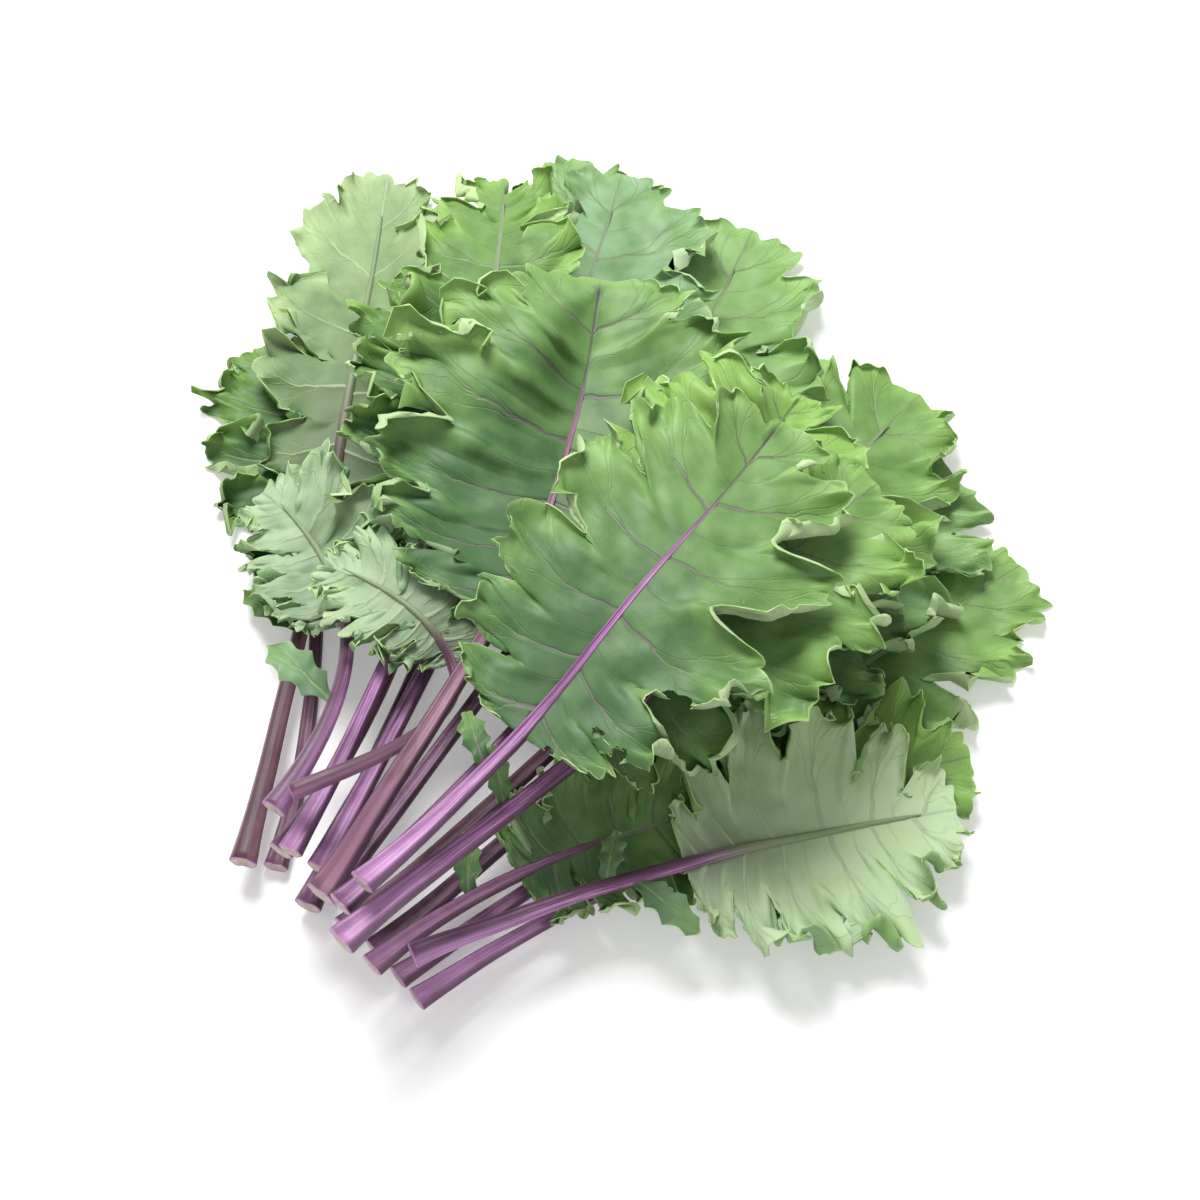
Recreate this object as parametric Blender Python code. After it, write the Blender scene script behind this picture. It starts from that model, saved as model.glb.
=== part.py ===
"""A bunch of purple kale, lying on its side as it would on a table.

Every leaf is one purple stem, whose midrib runs up the blade, and one green blade in two halves
that join past the midrib's end. The leaves are laid one on another from the table up: the height
reached so far is kept on a grid, and each new leaf is draped over it with its own waves.

The script works in millimetres and makes its meshes in metres. +Y runs from the cut stems to the
leaf tips, +Z is up, and the origin is under the middle of the bunch, on the table.
"""

import math
from collections import namedtuple

import bpy
import numpy as np

MM = 0.001

# Driving dimensions, in millimetres
BLADE_THICKNESS = 1.0
CLEARANCE = 1.0  # air left between two leaves where they lie on each other
SLOT_GAP = 0.8  # between a midrib and the two halves of its blade
STEM_HEIGHT_SHARE = 0.85  # of the stem's width
CUT_FLARE = 0.45  # how much wider a stem is at its cut end
FLARE_LENGTH = 22.0
PETIOLE_TAPER = 0.22  # the share of its width that a stem loses before the blade begins
RIB_TIP_WIDTH = 1.8
LEAFLET_THICKNESS = 1.2

# The blade's outline, counted in teeth along one side from its base to its tip
LOBES = 6
TEETH_PER_LOBE = 3
TEETH = LOBES * TEETH_PER_LOBE
TOOTH_DEPTH = 0.11  # share of the half width
SINUS_DEPTHS = (0.4, 0.5, 0.42, 0.38, 0.34, 0.28, 0.0)  # the cuts between lobes, base to tip
RIB_END = 0.84  # where the midrib ends, as a share of the blade
VEIN_FAN_END = 0.94  # where the last side vein leaves, as a share of the blade
VEIN_SPREAD = 1.1  # above 1, the side veins leave closer together near the base

# Rows of points across one side of a blade: how far out, and the step between points in teeth
BLADE_ROWS = ((0.0, 2.0), (0.42, 2.0), (0.76, 1.0), (1.0, 0.5))
STEM_STATIONS = 9  # below the blade

# The pile
GRID_CELL = 2.0
GRID_REACH = 290.0  # half the side of the square that the height grid covers
CLOSE_COVER = 2.0
WIDE_COVER = 11.0
ENOUGH = 0.05  # of the clearance, that may be missing
NEIGHBOUR_PULL = 0.6  # how far a lifted point takes the points beside it along
STIFF_STEPS = 9  # how far a stem bridges between the things that it lies on
STATIONS = 221  # on a stem's line

UP, UNDER = 1, -1  # which face of the blade is seen from above

# cut and tip: plan positions of the two ends. bow: how far the middle stands to the left.
# petiole: the bare stem's share of the length. half_width: of the blade. stem: its width.
# lift: how steeply the left and right halves rise from the midrib, in degrees.
# tip_rise: of the tip over the base. ruffle: height of the margin's waves.
# leaflets: share along the stem, side (1 left, -1 right) and length.
Leaf = namedtuple(
    "Leaf", "cut tip bow petiole half_width stem lift tip_rise ruffle face seed leaflets"
)

# From the table up
LEAVES = (
    Leaf((40, -192), (142, 152), 3, 0.40, 56, 8, (4, 5), 0, 4, UP, 1, ()),
    Leaf((54, -196), (180, 50), 13, 0.44, 52, 8, (3, 6), 0, 4, UP, 2, ()),
    Leaf((-38, -186), (-230, 22), -22, 0.50, 42, 8, (5, 3), 0, 4, UP, 3, ()),
    Leaf((27, -191), (86, 174), 1, 0.46, 62, 9, (4, 3), 0, 4, UP, 4, ()),
    Leaf((-13, -192), (-172, 214), -11, 0.50, 52, 9, (3, 3), 0, 4, UP, 5, ()),
    Leaf((13, -194), (50, 200), -6, 0.46, 64, 9, (4, 2), 0, 4, UP, 6, ()),
    Leaf((0, -190), (-76, 230), -12, 0.48, 66, 9, (3, 3), 0, 4, UP, 7, ()),
    Leaf((-8, -184), (-148, 212), -12, 0.52, 62, 9, (4, 2), 3, 5, UP, 8, ()),
    Leaf((34, -200), (105, -46), 12, 0.45, 40, 8, (6, 4), 0, 6, UP, 9, ((0.30, 1, 30),)),
    Leaf(
        (47, -187), (190, 22), 8, 0.50, 56, 8, (6, 2), 0, 7, UNDER, 10,
        ((0.40, -1, 38), (0.35, 1, 28)),
    ),
    Leaf(
        (-48, -196), (-250, 142), -6, 0.44, 47, 9, (0, 8), 0, 7, UNDER, 11,
        ((0.30, 1, 38), (0.37, -1, 26)),
    ),
    Leaf((-26, -188), (-172, 92), -30, 0.50, 50, 8, (4, 4), 0, 5, UP, 12, ()),
    Leaf((-20, -188), (-186, 162), -24, 0.60, 42, 8, (6, 4), 2, 6, UP, 13, ()),
    Leaf((-34, -180), (-166, -48), -36, 0.52, 36, 8, (4, 8), 0, 5, UNDER, 14, ((0.27, 1, 44),)),
    Leaf((-30, -172), (-104, -74), -66, 0.60, 28, 6, (6, 6), 0, 4, UNDER, 15, ()),
    Leaf((5, -196), (-95, 126), -22, 0.44, 84, 10, (5, 5), 0, 6, UP, 16, ()),
    Leaf((19, -197), (16, 141), -10, 0.56, 54, 9, (7, 7), 4, 6, UP, 17, ()),
    Leaf((32, -210), (78, 112), 0, 0.44, 60, 10, (5, 2), 0, 6, UP, 18, ((0.28, 1, 26),)),
    Leaf((26, -188), (30, 100), -6, 0.33, 66, 9, (4, 3), 0, 7, UP, 19, ((0.25, 1, 30),)),
)

# The stem's section: a flat underside, round flanks and a shallow channel along the top
SECTION = np.array(
    (
        (-0.24, -0.5),
        (0.24, -0.5),
        (0.5, -0.05),
        (0.32, 0.42),
        (0.0, 0.32),
        (-0.32, 0.42),
        (-0.5, -0.05),
    )
)

# A leaflet's rows: share of its length, and half width as a share of its widest
LEAFLET_ROWS = ((0.0, 0.25), (0.25, 0.7), (0.5, 1.0), (0.78, 0.9), (1.0, 0.15))
LEAFLET_HALF_WIDTH = 0.2  # of its length
LEAFLET_HEADING = (0.85, 0.52)  # away from the stem, and along it

# Colours, linear
STEM_PURPLE = (0.30, 0.10, 0.27)
LEAF_GREEN = (0.12, 0.30, 0.08)
UNDERSIDE_GREEN = (0.32, 0.46, 0.27)


def smoothstep(x):
    x = np.clip(x, 0.0, 1.0)
    return x * x * (3 - 2 * x)


def soft_max(a, b, softness):
    """The larger of two heights, rounded where they cross."""
    return 0.5 * (a + b + np.sqrt((a - b) ** 2 + softness**2) - softness)


def windows(values, reach, axis):
    """Copies of values shifted by up to reach steps either way along an axis."""
    pad = [(reach, reach) if k == axis else (0, 0) for k in range(values.ndim)]
    padded = np.pad(values, pad, mode="edge")
    size = values.shape[axis]
    return [np.take(padded, range(k, k + size), axis) for k in range(2 * reach + 1)]


def slide_max(values, reach, axis=0):
    return np.max(windows(values, reach, axis), axis=0)


def slide_mean(values, reach, axis=0):
    return np.mean(windows(values, reach, axis), axis=0)


def upper_hull(x, values):
    """The lowest curve over the values that nowhere sags, as a stiff bar lies on high points."""
    kept = []
    for k in range(len(x)):
        while len(kept) > 1:
            i, j = kept[-2], kept[-1]
            if (values[j] - values[i]) * (x[k] - x[i]) > (values[k] - values[i]) * (x[j] - x[i]):
                break
            kept.pop()
        kept.append(k)
    return np.interp(x, x[kept], values[kept])


def barycentric_grid(steps):
    corners = [
        (i / steps, j / steps, (steps - i - j) / steps)
        for i in range(steps + 1)
        for j in range(steps + 1 - i)
    ]
    return np.array(corners)


SAMPLE_WEIGHTS = barycentric_grid(20)


def samples(points, triangles):
    """Places spread over every triangle, one row of them for each sample weight."""
    return np.einsum("wk,nkd->wnd", SAMPLE_WEIGHTS, points[triangles])


class Pile:
    """The top of what has been laid so far, as heights on a square grid."""

    def __init__(self):
        side = int(2 * GRID_REACH / GRID_CELL) + 1
        self.top = np.full((side, side), -CLEARANCE)

    def cells(self, plan):
        at = np.clip((plan + GRID_REACH) / GRID_CELL, 0, len(self.top) - 1.001)
        return at[..., 0], at[..., 1]

    def cover(self, reach):
        """A smooth height that the pile is nowhere above, found over reach millimetres."""
        steps = round(reach / GRID_CELL)
        heights = slide_max(slide_max(self.top, steps, 0), steps, 1)
        return slide_mean(slide_mean(heights, steps, 0), steps, 1)

    def read(self, heights, plan):
        x, y = self.cells(plan)
        i, j = x.astype(int), y.astype(int)
        a, b = x - i, y - j
        near = heights[i, j] * (1 - a) + heights[i + 1, j] * a
        far = heights[i, j + 1] * (1 - a) + heights[i + 1, j + 1] * a
        return near * (1 - b) + far * b

    def add(self, points, triangles):
        """Raises the grid to the top of these triangles."""
        spots = samples(points, triangles).reshape(-1, 3)
        x, y = self.cells(spots[:, :2])
        for i in (0, 1):
            for j in (0, 1):
                np.maximum.at(self.top, (x.astype(int) + i, y.astype(int) + j), spots[:, 2])


class Path:
    """A leaf's line in plan, from its cut end at 0 to its tip at 1."""

    def __init__(self, leaf):
        self.leaf = leaf
        self.cut = np.array(leaf.cut, float)
        self.chord = np.array(leaf.tip, float) - self.cut
        self.length = float(np.hypot(*self.chord))
        self.left = np.array((-self.chord[1], self.chord[0])) / self.length
        self.blade = self.length * (1 - leaf.petiole)

    def point(self, share):
        share = np.asarray(share)[..., None]
        bow = self.leaf.bow * 4 * share * (1 - share)
        return self.cut + self.chord * share + self.left * bow

    def across(self, share):
        """The unit vector to the left of the line."""
        share = np.asarray(share)[..., None]
        along = self.chord + self.left * self.leaf.bow * 4 * (1 - 2 * share)
        along = along / np.linalg.norm(along, axis=-1, keepdims=True)
        return np.stack((-along[..., 1], along[..., 0]), axis=-1)

    def on_leaf(self, blade_share):
        """Where a place on the blade, 0 at its base and 1 at its tip, lies on the whole leaf."""
        return self.leaf.petiole + (1 - self.leaf.petiole) * blade_share

    def stem_width(self, share):
        """Widest at the cut end, even up the petiole, then tapering to the midrib's end."""
        flare = 1 + CUT_FLARE * np.exp(-share * self.length / FLARE_LENGTH)
        petiole = self.leaf.stem * (1 - PETIOLE_TAPER * np.clip(share / self.leaf.petiole, 0, 1))
        up_blade = (share - self.leaf.petiole) / (1 - self.leaf.petiole) / RIB_END
        taper = np.clip(up_blade, 0, 1) ** 0.8
        return petiole * flare * (1 - taper) + RIB_TIP_WIDTH * taper


def vein_foot(teeth):
    """The share up the blade at which the side vein of a place on the margin leaves."""
    return VEIN_FAN_END * (teeth / TEETH) ** VEIN_SPREAD


class Side:
    """One half of a blade: its outline and waves, drawn from the leaf's seed."""

    def __init__(self, leaf, side):
        self.leaf = leaf
        draw = np.random.default_rng(leaf.seed * 10 + (side > 0))
        self.sinus = np.array(SINUS_DEPTHS) * draw.uniform(0.35, 1.25, LOBES + 1)
        self.tooth = draw.uniform(0.5, 1.4, TEETH + 1)
        self.bulge = draw.uniform(-0.08, 0.1, LOBES + 1)
        self.phase = draw.uniform(0, 1, 2)
        self.drift = draw.uniform(-0.25, 0.25, LOBES + 1)
        self.strength = draw.uniform(0.7, 1.2, LOBES + 1)

    def along_lobes(self, values, teeth):
        return np.interp(teeth / TEETH_PER_LOBE, range(LOBES + 1), values)

    def reach(self, teeth):
        """How far the margin comes out, against a plain oval."""
        lobe = teeth / TEETH_PER_LOBE + self.along_lobes(self.drift, teeth)
        lobe = np.clip(lobe, 0, LOBES)
        sinus = self.sinus[np.round(lobe).astype(int)]
        cut = sinus * (0.5 + 0.5 * np.cos(2 * np.pi * lobe)) ** 4
        tooth = self.tooth[teeth.astype(int)] * (1 - np.abs(np.cos(np.pi * teeth)))
        fade = np.sin(np.pi * teeth / TEETH) ** 0.3
        reach = 1 - cut + self.along_lobes(self.bulge, teeth) + TOOTH_DEPTH * fade * (tooth - 0.35)
        return np.where(teeth >= TEETH, 1.0, reach)

    def flat(self, teeth, out, path):
        """Distance up the blade and away from the midrib, before the leaf is bent."""
        share = teeth / TEETH
        foot = vein_foot(teeth)
        oval_along = 0.5 - 0.5 * np.cos(np.pi * share**0.96)
        oval_out = np.sin(np.pi * share) ** 0.72 + 0.12 * (1 - share)
        oval_out = np.where(teeth >= TEETH, 0.0, oval_out * self.leaf.half_width / path.blade)
        reach = self.reach(teeth) * out
        swept_back = 0.09 * np.sin(np.pi * out) * oval_out
        along = foot + (oval_along - foot) * reach - swept_back
        return along * path.blade, oval_out * reach * path.blade

    def wave(self, teeth, out):
        """Height of the margin's waves, and how far they can swing here."""
        turn = teeth / 2.7 + self.phase[0] + self.along_lobes(self.drift, teeth)
        fine = teeth / 1.6 + self.phase[1]
        ends = np.sin(np.pi * teeth / TEETH) ** 0.4
        swing = self.leaf.ruffle * self.along_lobes(self.strength, teeth) * ends
        swing = swing * smoothstep((out - 0.4) / 0.6)
        return swing * (np.sin(2 * np.pi * turn) + 0.4 * np.sin(2 * np.pi * fine)) / 1.2, swing


class LaidLeaf:
    """A leaf draped over the pile: its stem's line, and the place of any point of its blade."""

    def __init__(self, leaf, pile):
        self.leaf, self.path, self.pile = leaf, Path(leaf), pile
        self.sides = {side: Side(leaf, side) for side in (1, -1)}
        self.close = pile.cover(CLOSE_COVER)
        self.wide = pile.cover(WIDE_COVER)
        self.shares = np.linspace(-0.02, 1.08, STATIONS)
        self.under = self.stem_line()

    def beside(self, heights, half_width, places):
        """Heights of the pile at several places across the line, each a share of half_width."""
        line = self.path.point(self.shares)
        across = self.path.across(self.shares) * half_width[:, None]
        return [self.pile.read(heights, line + across * k) for k in places]

    def stem_line(self):
        """The height of the stem's underside: straight over the petiole, draped up the blade."""
        leaf = self.leaf
        stem_half = 0.5 * self.path.stem_width(np.clip(self.shares, 0, 1)) + 1
        under = np.max(self.beside(self.close, stem_half, np.linspace(-1, 1, 5)), axis=0)
        blade_half = leaf.half_width * smoothstep((self.shares - leaf.petiole) / 0.15)
        about = np.mean(self.beside(self.wide, blade_half, np.linspace(-0.6, 0.6, 7)), axis=0)
        under = np.maximum(under, about)
        bare = np.where(self.shares < leaf.petiole, under, -CLEARANCE)
        under = np.maximum(under, upper_hull(self.shares, bare))
        under = slide_mean(slide_max(under, STIFF_STEPS), STIFF_STEPS) + CLEARANCE
        up_blade = np.clip((self.shares - leaf.petiole) / (1 - leaf.petiole), 0, None)
        return under + leaf.tip_rise * up_blade**2

    def lift(self, spots, lack):
        """Raises the stem's line about the spots where the leaf is still too low."""
        place = (spots[:, :2] - self.path.cut) @ self.path.chord / self.path.length**2
        nearest = np.clip(np.searchsorted(self.shares, place), 0, STATIONS - 1)
        need = np.zeros(STATIONS)
        np.maximum.at(need, nearest, lack)
        self.under += slide_mean(slide_max(need, STIFF_STEPS), STIFF_STEPS // 2)

    def stem_middle(self, share):
        height = STEM_HEIGHT_SHARE * self.path.stem_width(share)
        return np.interp(share, self.shares, self.under) + 0.5 * height

    def attach_height(self, share):
        """Where the blade meets the midrib, which stands proud of the blade's lower face."""
        height = STEM_HEIGHT_SHARE * self.path.stem_width(share)
        return self.stem_middle(share) + 0.25 * self.leaf.face * height

    def blade_points(self, side, teeth, out):
        """Places of points on one half of the blade, all as far out as each other."""
        leaf, path, half = self.leaf, self.path, self.sides[side]
        along, across = half.flat(teeth, out, path)
        wave, swing = half.wave(teeth, out)
        foot = path.on_leaf(vein_foot(teeth))
        slot = np.where(teeth < TEETH, 0.5 * path.stem_width(foot) + SLOT_GAP, 0.0)
        across = np.maximum(across, slot)
        tilt = math.radians(leaf.lift[0] if side > 0 else leaf.lift[1])
        away = np.maximum(across * math.cos(tilt) - wave * math.sin(tilt), slot * math.cos(tilt))
        share = path.on_leaf(along / path.blade)
        plan = path.point(share) + path.across(share) * (side * away)[..., None]
        root = self.attach_height(share)
        floor = self.pile.read(self.wide, plan) + CLEARANCE + 0.5 * BLADE_THICKNESS
        free = soft_max(root + across * math.sin(tilt), floor + 0.6 * swing, 3.0)
        free = soft_max(free + wave * math.cos(tilt), floor, 1.0)
        height = root + (free - root) * smoothstep(out / 0.4)
        return np.concatenate((plan, height[..., None]), axis=-1)


def strip(first, first_at, second, second_at):
    """Triangles between two rows of points, each with its own places along the margin."""
    triangles = []
    i = j = 0
    while i < len(first) - 1 or j < len(second) - 1:
        step_i = first_at[i + 1] if i < len(first) - 1 else math.inf
        step_j = second_at[j + 1] if j < len(second) - 1 else math.inf
        if step_i <= step_j:
            triangles.append((first[i], first[i + 1], second[j]))
            i += 1
        else:
            triangles.append((first[i], second[j + 1], second[j]))
            j += 1
    return triangles


def blade_sheet(laid):
    """The blade's middle surface: points, triangles, and which points the midrib holds."""
    points, triangles, held = [], [], []
    count = 0
    for side in (1, -1):
        rows = []
        for out, step in BLADE_ROWS:
            teeth = np.arange(0, TEETH + step / 2, step)
            points.append(laid.blade_points(side, teeth, out))
            held.append(np.full(len(teeth), out == 0))
            rows.append((range(count, count + len(teeth)), teeth))
            count += len(teeth)
        for inner, outer in zip(rows, rows[1:]):
            triangles += [order[::-side] for order in strip(*inner, *outer)]
    return weld(np.concatenate(points), np.array(triangles), np.concatenate(held))


def weld(points, triangles, held):
    """Points at one place made one, with the triangles that collapse left out."""
    _, first, index = np.unique(
        np.round(points, 3), axis=0, return_index=True, return_inverse=True
    )
    triangles = index.reshape(-1)[triangles]
    a, b, c = triangles.T
    return points[first], triangles[(a != b) & (b != c) & (c != a)], held[first]


def drape(laid, pile):
    """A blade's sheet lifted off the pile, and the spots where the midrib still holds it low."""
    points, triangles, held = blade_sheet(laid)
    gap = CLEARANCE + 0.5 * BLADE_THICKNESS
    for _ in range(60):
        spots = samples(points, triangles)
        lack = np.maximum(pile.read(pile.top, spots[..., :2]) + gap - spots[..., 2], 0)
        if lack.max() < ENOUGH:
            break
        push = np.zeros(len(points))
        for corner in range(3):
            felt = lack * smoothstep(SAMPLE_WEIGHTS[:, corner] * 3)[:, None]
            np.maximum.at(push, triangles[:, corner], felt.max(axis=0))
        dragged = push[triangles].max(axis=1) * NEIGHBOUR_PULL
        for corner in range(3):
            np.maximum.at(push, triangles[:, corner], dragged)
        points[:, 2] += np.where(held, 0, push)
    return points, triangles, spots.reshape(-1, 3), lack.reshape(-1)


def clear_stem(laid, pile):
    """Raises the stem's line until its facets clear the pile."""
    while True:
        spots = samples(*stem_bar(laid)).reshape(-1, 3)
        lack = pile.read(pile.top, spots[:, :2]) + 0.5 * CLEARANCE - spots[:, 2]
        if lack.max() < ENOUGH:
            break
        laid.lift(spots, np.maximum(lack, 0))


def settle(laid, pile):
    """The sheet of a blade that is clear of the pile, with its stem."""
    clear_stem(laid, pile)
    sheet, triangles, spots, lack = drape(laid, pile)
    while lack.max() > ENOUGH:
        laid.lift(spots, lack)
        sheet, triangles, spots, lack = drape(laid, pile)
    return sheet, triangles


def normals_of(points, triangles):
    a, b, c = (points[triangles[:, corner]] for corner in range(3))
    face = np.cross(b - a, c - a)
    total = np.zeros_like(points)
    for corner in range(3):
        np.add.at(total, triangles[:, corner], face)
    return total / np.linalg.norm(total, axis=1, keepdims=True)


def thicken(points, triangles, thickness):
    """A closed solid about a sheet, split into triangles alike on both faces."""
    half = normals_of(points, triangles) * thickness / 2
    solid = np.concatenate((points + half, points - half))
    count = len(points)
    edges = np.concatenate([triangles[:, [0, 1]], triangles[:, [1, 2]], triangles[:, [2, 0]]])
    known = {tuple(edge) for edge in edges.tolist()}
    a, b = np.array(sorted(edge for edge in known if edge[::-1] not in known)).T
    rim = (np.stack((b, a, a + count), axis=1), np.stack((b, a + count, b + count), axis=1))
    return solid, np.concatenate((triangles, triangles[:, ::-1] + count, *rim))


def stem_bar(laid):
    """The petiole and midrib as one tapered bar."""
    path = laid.path
    feet = vein_foot(np.arange(0, TEETH + 1, 2.0))
    below = laid.leaf.petiole * np.linspace(0, 1, STEM_STATIONS, endpoint=False)
    above = path.on_leaf(np.append(feet[feet < RIB_END], RIB_END))
    shares = np.concatenate((below, above))
    width = path.stem_width(shares)[:, None]
    section = SECTION[:: laid.leaf.face] * (1, laid.leaf.face)
    lateral = (section[:, 0] * width)[..., None] * path.across(shares)[:, None, :]
    plan = path.point(shares)[:, None, :] + lateral
    level = laid.stem_middle(shares)[:, None] + section[:, 1] * STEM_HEIGHT_SHARE * width
    points = np.concatenate((plan, level[..., None]), axis=-1).reshape(-1, 3)
    around = len(section)
    last = len(points) - around
    faces = []
    for ring in range(0, last, around):
        for k in range(around):
            a, b = ring + k, ring + (k + 1) % around
            faces += [(a, b, b + around), (a, b + around, a + around)]
    faces += [(0, k + 1, k) for k in range(1, around - 1)]
    faces += [(last, last + k, last + k + 1) for k in range(1, around - 1)]
    return points, np.array(faces)


def leaflet_solid(laid, place, side, length):
    """A small lobe on the petiole, with its root inside the stem."""
    path, pile = laid.path, laid.pile
    away = path.across(place) * side
    along = np.array((away[1], -away[0])) * side
    heading = away * LEAFLET_HEADING[0] + along * LEAFLET_HEADING[1]
    beside = np.array((-heading[1], heading[0])) * side
    points = []
    for share, spread in LEAFLET_ROWS:
        centre = path.point(place) + heading * length * share
        for edge, rise in ((-1, 0.5), (0, -0.6), (1, 0.8)):
            plan = centre + beside * edge * spread * length * LEAFLET_HALF_WIDTH
            arch = 5 * math.sin(share * math.pi) - 4 * share + rise * share
            rest = laid.stem_middle(place) + arch
            floor = pile.read(laid.wide, plan) + CLEARANCE + LEAFLET_THICKNESS / 2 + 1 + rise
            points.append((*plan, rest + max(0, floor - rest) * smoothstep(2 * share)))
    triangles = []
    for row in range(len(LEAFLET_ROWS) - 1):
        for a in (3 * row, 3 * row + 1):
            triangles += [(a, a + 1, a + 4), (a, a + 4, a + 3)]
    triangles = np.array(triangles)
    return thicken(np.array(points), triangles[:, ::-side], LEAFLET_THICKNESS)


def make_object(name, solid, shift, material):
    points, faces = solid
    mesh = bpy.data.meshes.new(name)
    mesh.from_pydata(((points + shift) * MM).tolist(), [], faces.tolist())
    mesh.materials.append(material)
    mesh.shade_smooth()
    mesh.set_sharp_from_angle(angle=math.radians(40))
    made = bpy.data.objects.new(name, mesh)
    bpy.context.scene.collection.objects.link(made)
    return made


def grow_together(stem, leaflets):
    """One Boolean union of the stem with the leaflets that grow from it."""
    group = bpy.data.collections.new("leaflets")
    bpy.context.scene.collection.children.link(group)
    for leaflet in leaflets:
        bpy.context.scene.collection.objects.unlink(leaflet)
        group.objects.link(leaflet)
    union = stem.modifiers.new("join", "BOOLEAN")
    union.operation = "UNION"
    union.operand_type = "COLLECTION"
    union.collection = group
    union.solver = "MANIFOLD"
    graph = bpy.context.evaluated_depsgraph_get()
    joined = bpy.data.meshes.new_from_object(stem.evaluated_get(graph))
    stem.modifiers.clear()
    stem.data = joined
    for leaflet in leaflets:
        bpy.data.objects.remove(leaflet)
    bpy.data.collections.remove(group)


def material(name, colour, roughness):
    made = bpy.data.materials.new(name)
    made.use_nodes = True
    shader = made.node_tree.nodes["Principled BSDF"]
    shader.inputs["Base Color"].default_value = (*colour, 1)
    shader.inputs["Roughness"].default_value = roughness
    shader.inputs["Metallic"].default_value = 0
    made.diffuse_color = (*colour, 1)
    return made


def lay_bunch():
    """Lays every leaf, and gives the solids of its stem, its leaflets and its blade."""
    pile = Pile()
    laid_solids = []
    for leaf in LEAVES:
        laid = LaidLeaf(leaf, pile)
        blade = thicken(*settle(laid, pile), BLADE_THICKNESS)
        stem = stem_bar(laid)
        leaflets = [leaflet_solid(laid, *leaflet) for leaflet in leaf.leaflets]
        for points, faces in (blade, stem, *leaflets):
            pile.add(points, faces)
        laid_solids.append((stem, leaflets, blade))
    return laid_solids


def shift_to_origin(laid_solids):
    """The move that puts the middle of the bunch's underside at the origin."""
    every = [s[0] for stem, leaflets, blade in laid_solids for s in (stem, blade, *leaflets)]
    low, high = np.min(np.concatenate(every), axis=0), np.max(np.concatenate(every), axis=0)
    return -np.array(((low[0] + high[0]) / 2, (low[1] + high[1]) / 2, low[2]))


def main():
    for obj in list(bpy.data.objects):
        bpy.data.objects.remove(obj)
    purple = material("stem_purple", STEM_PURPLE, 0.45)
    green = material("leaf_green", LEAF_GREEN, 0.55)
    pale = material("leaf_underside", UNDERSIDE_GREEN, 0.65)
    laid_solids = lay_bunch()
    shift = shift_to_origin(laid_solids)
    for number, (leaf, (stem, leaflets, blade)) in enumerate(zip(LEAVES, laid_solids), 1):
        name = f"leaf_{number:02d}"
        body = make_object(name + "_stem", stem, shift, purple)
        if leaflets:
            grow_together(body, [make_object("leaflet", solid, shift, purple) for solid in leaflets])
        make_object(name + "_blade", blade, shift, green if leaf.face == UP else pale)


main()
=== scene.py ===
"""The finished look of a bunch of purple kale, lying on its side as it would on a table.

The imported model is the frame. Every leaf is made again in fine mesh about its own two solids: the
heights come from the solids, the outline from the same leaf table, and the ruffled margins, veins,
ridged stems and colours are added here.

Lengths are in millimetres until a mesh is made. +Y runs from the cut stems to the leaf tips.
"""

import math
from collections import namedtuple

import bpy
import numpy as np
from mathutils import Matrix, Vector
from mathutils.bvhtree import BVHTree


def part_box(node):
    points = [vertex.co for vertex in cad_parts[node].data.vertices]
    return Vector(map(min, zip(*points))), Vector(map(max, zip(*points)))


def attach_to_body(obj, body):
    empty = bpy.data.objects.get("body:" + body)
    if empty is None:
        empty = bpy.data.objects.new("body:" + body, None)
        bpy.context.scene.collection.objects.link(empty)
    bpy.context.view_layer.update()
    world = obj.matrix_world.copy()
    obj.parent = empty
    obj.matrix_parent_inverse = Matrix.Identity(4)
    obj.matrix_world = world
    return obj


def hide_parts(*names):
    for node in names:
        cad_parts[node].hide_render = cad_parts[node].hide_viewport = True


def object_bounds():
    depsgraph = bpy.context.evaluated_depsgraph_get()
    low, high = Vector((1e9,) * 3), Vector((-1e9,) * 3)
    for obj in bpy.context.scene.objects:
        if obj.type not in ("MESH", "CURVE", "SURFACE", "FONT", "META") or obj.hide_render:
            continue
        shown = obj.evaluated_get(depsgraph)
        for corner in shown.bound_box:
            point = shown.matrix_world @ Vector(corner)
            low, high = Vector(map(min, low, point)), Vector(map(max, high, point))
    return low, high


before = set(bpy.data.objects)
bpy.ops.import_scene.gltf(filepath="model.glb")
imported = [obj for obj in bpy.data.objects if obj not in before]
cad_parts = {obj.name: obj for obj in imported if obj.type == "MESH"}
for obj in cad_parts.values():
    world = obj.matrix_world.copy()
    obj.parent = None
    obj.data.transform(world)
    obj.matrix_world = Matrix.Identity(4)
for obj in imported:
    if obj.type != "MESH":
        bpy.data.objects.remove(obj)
cad_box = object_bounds()

MM = 0.001

# The solids' own dimensions, in millimetres
CAD_BLADE_HALF = 0.5
STEM_HEIGHT_SHARE = 0.85
CUT_FLARE = 0.45
FLARE_LENGTH = 22.0
PETIOLE_TAPER = 0.22
RIB_TIP_WIDTH = 1.8
RIB_TAPER = 0.8  # below 1, the midrib narrows sooner

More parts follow.
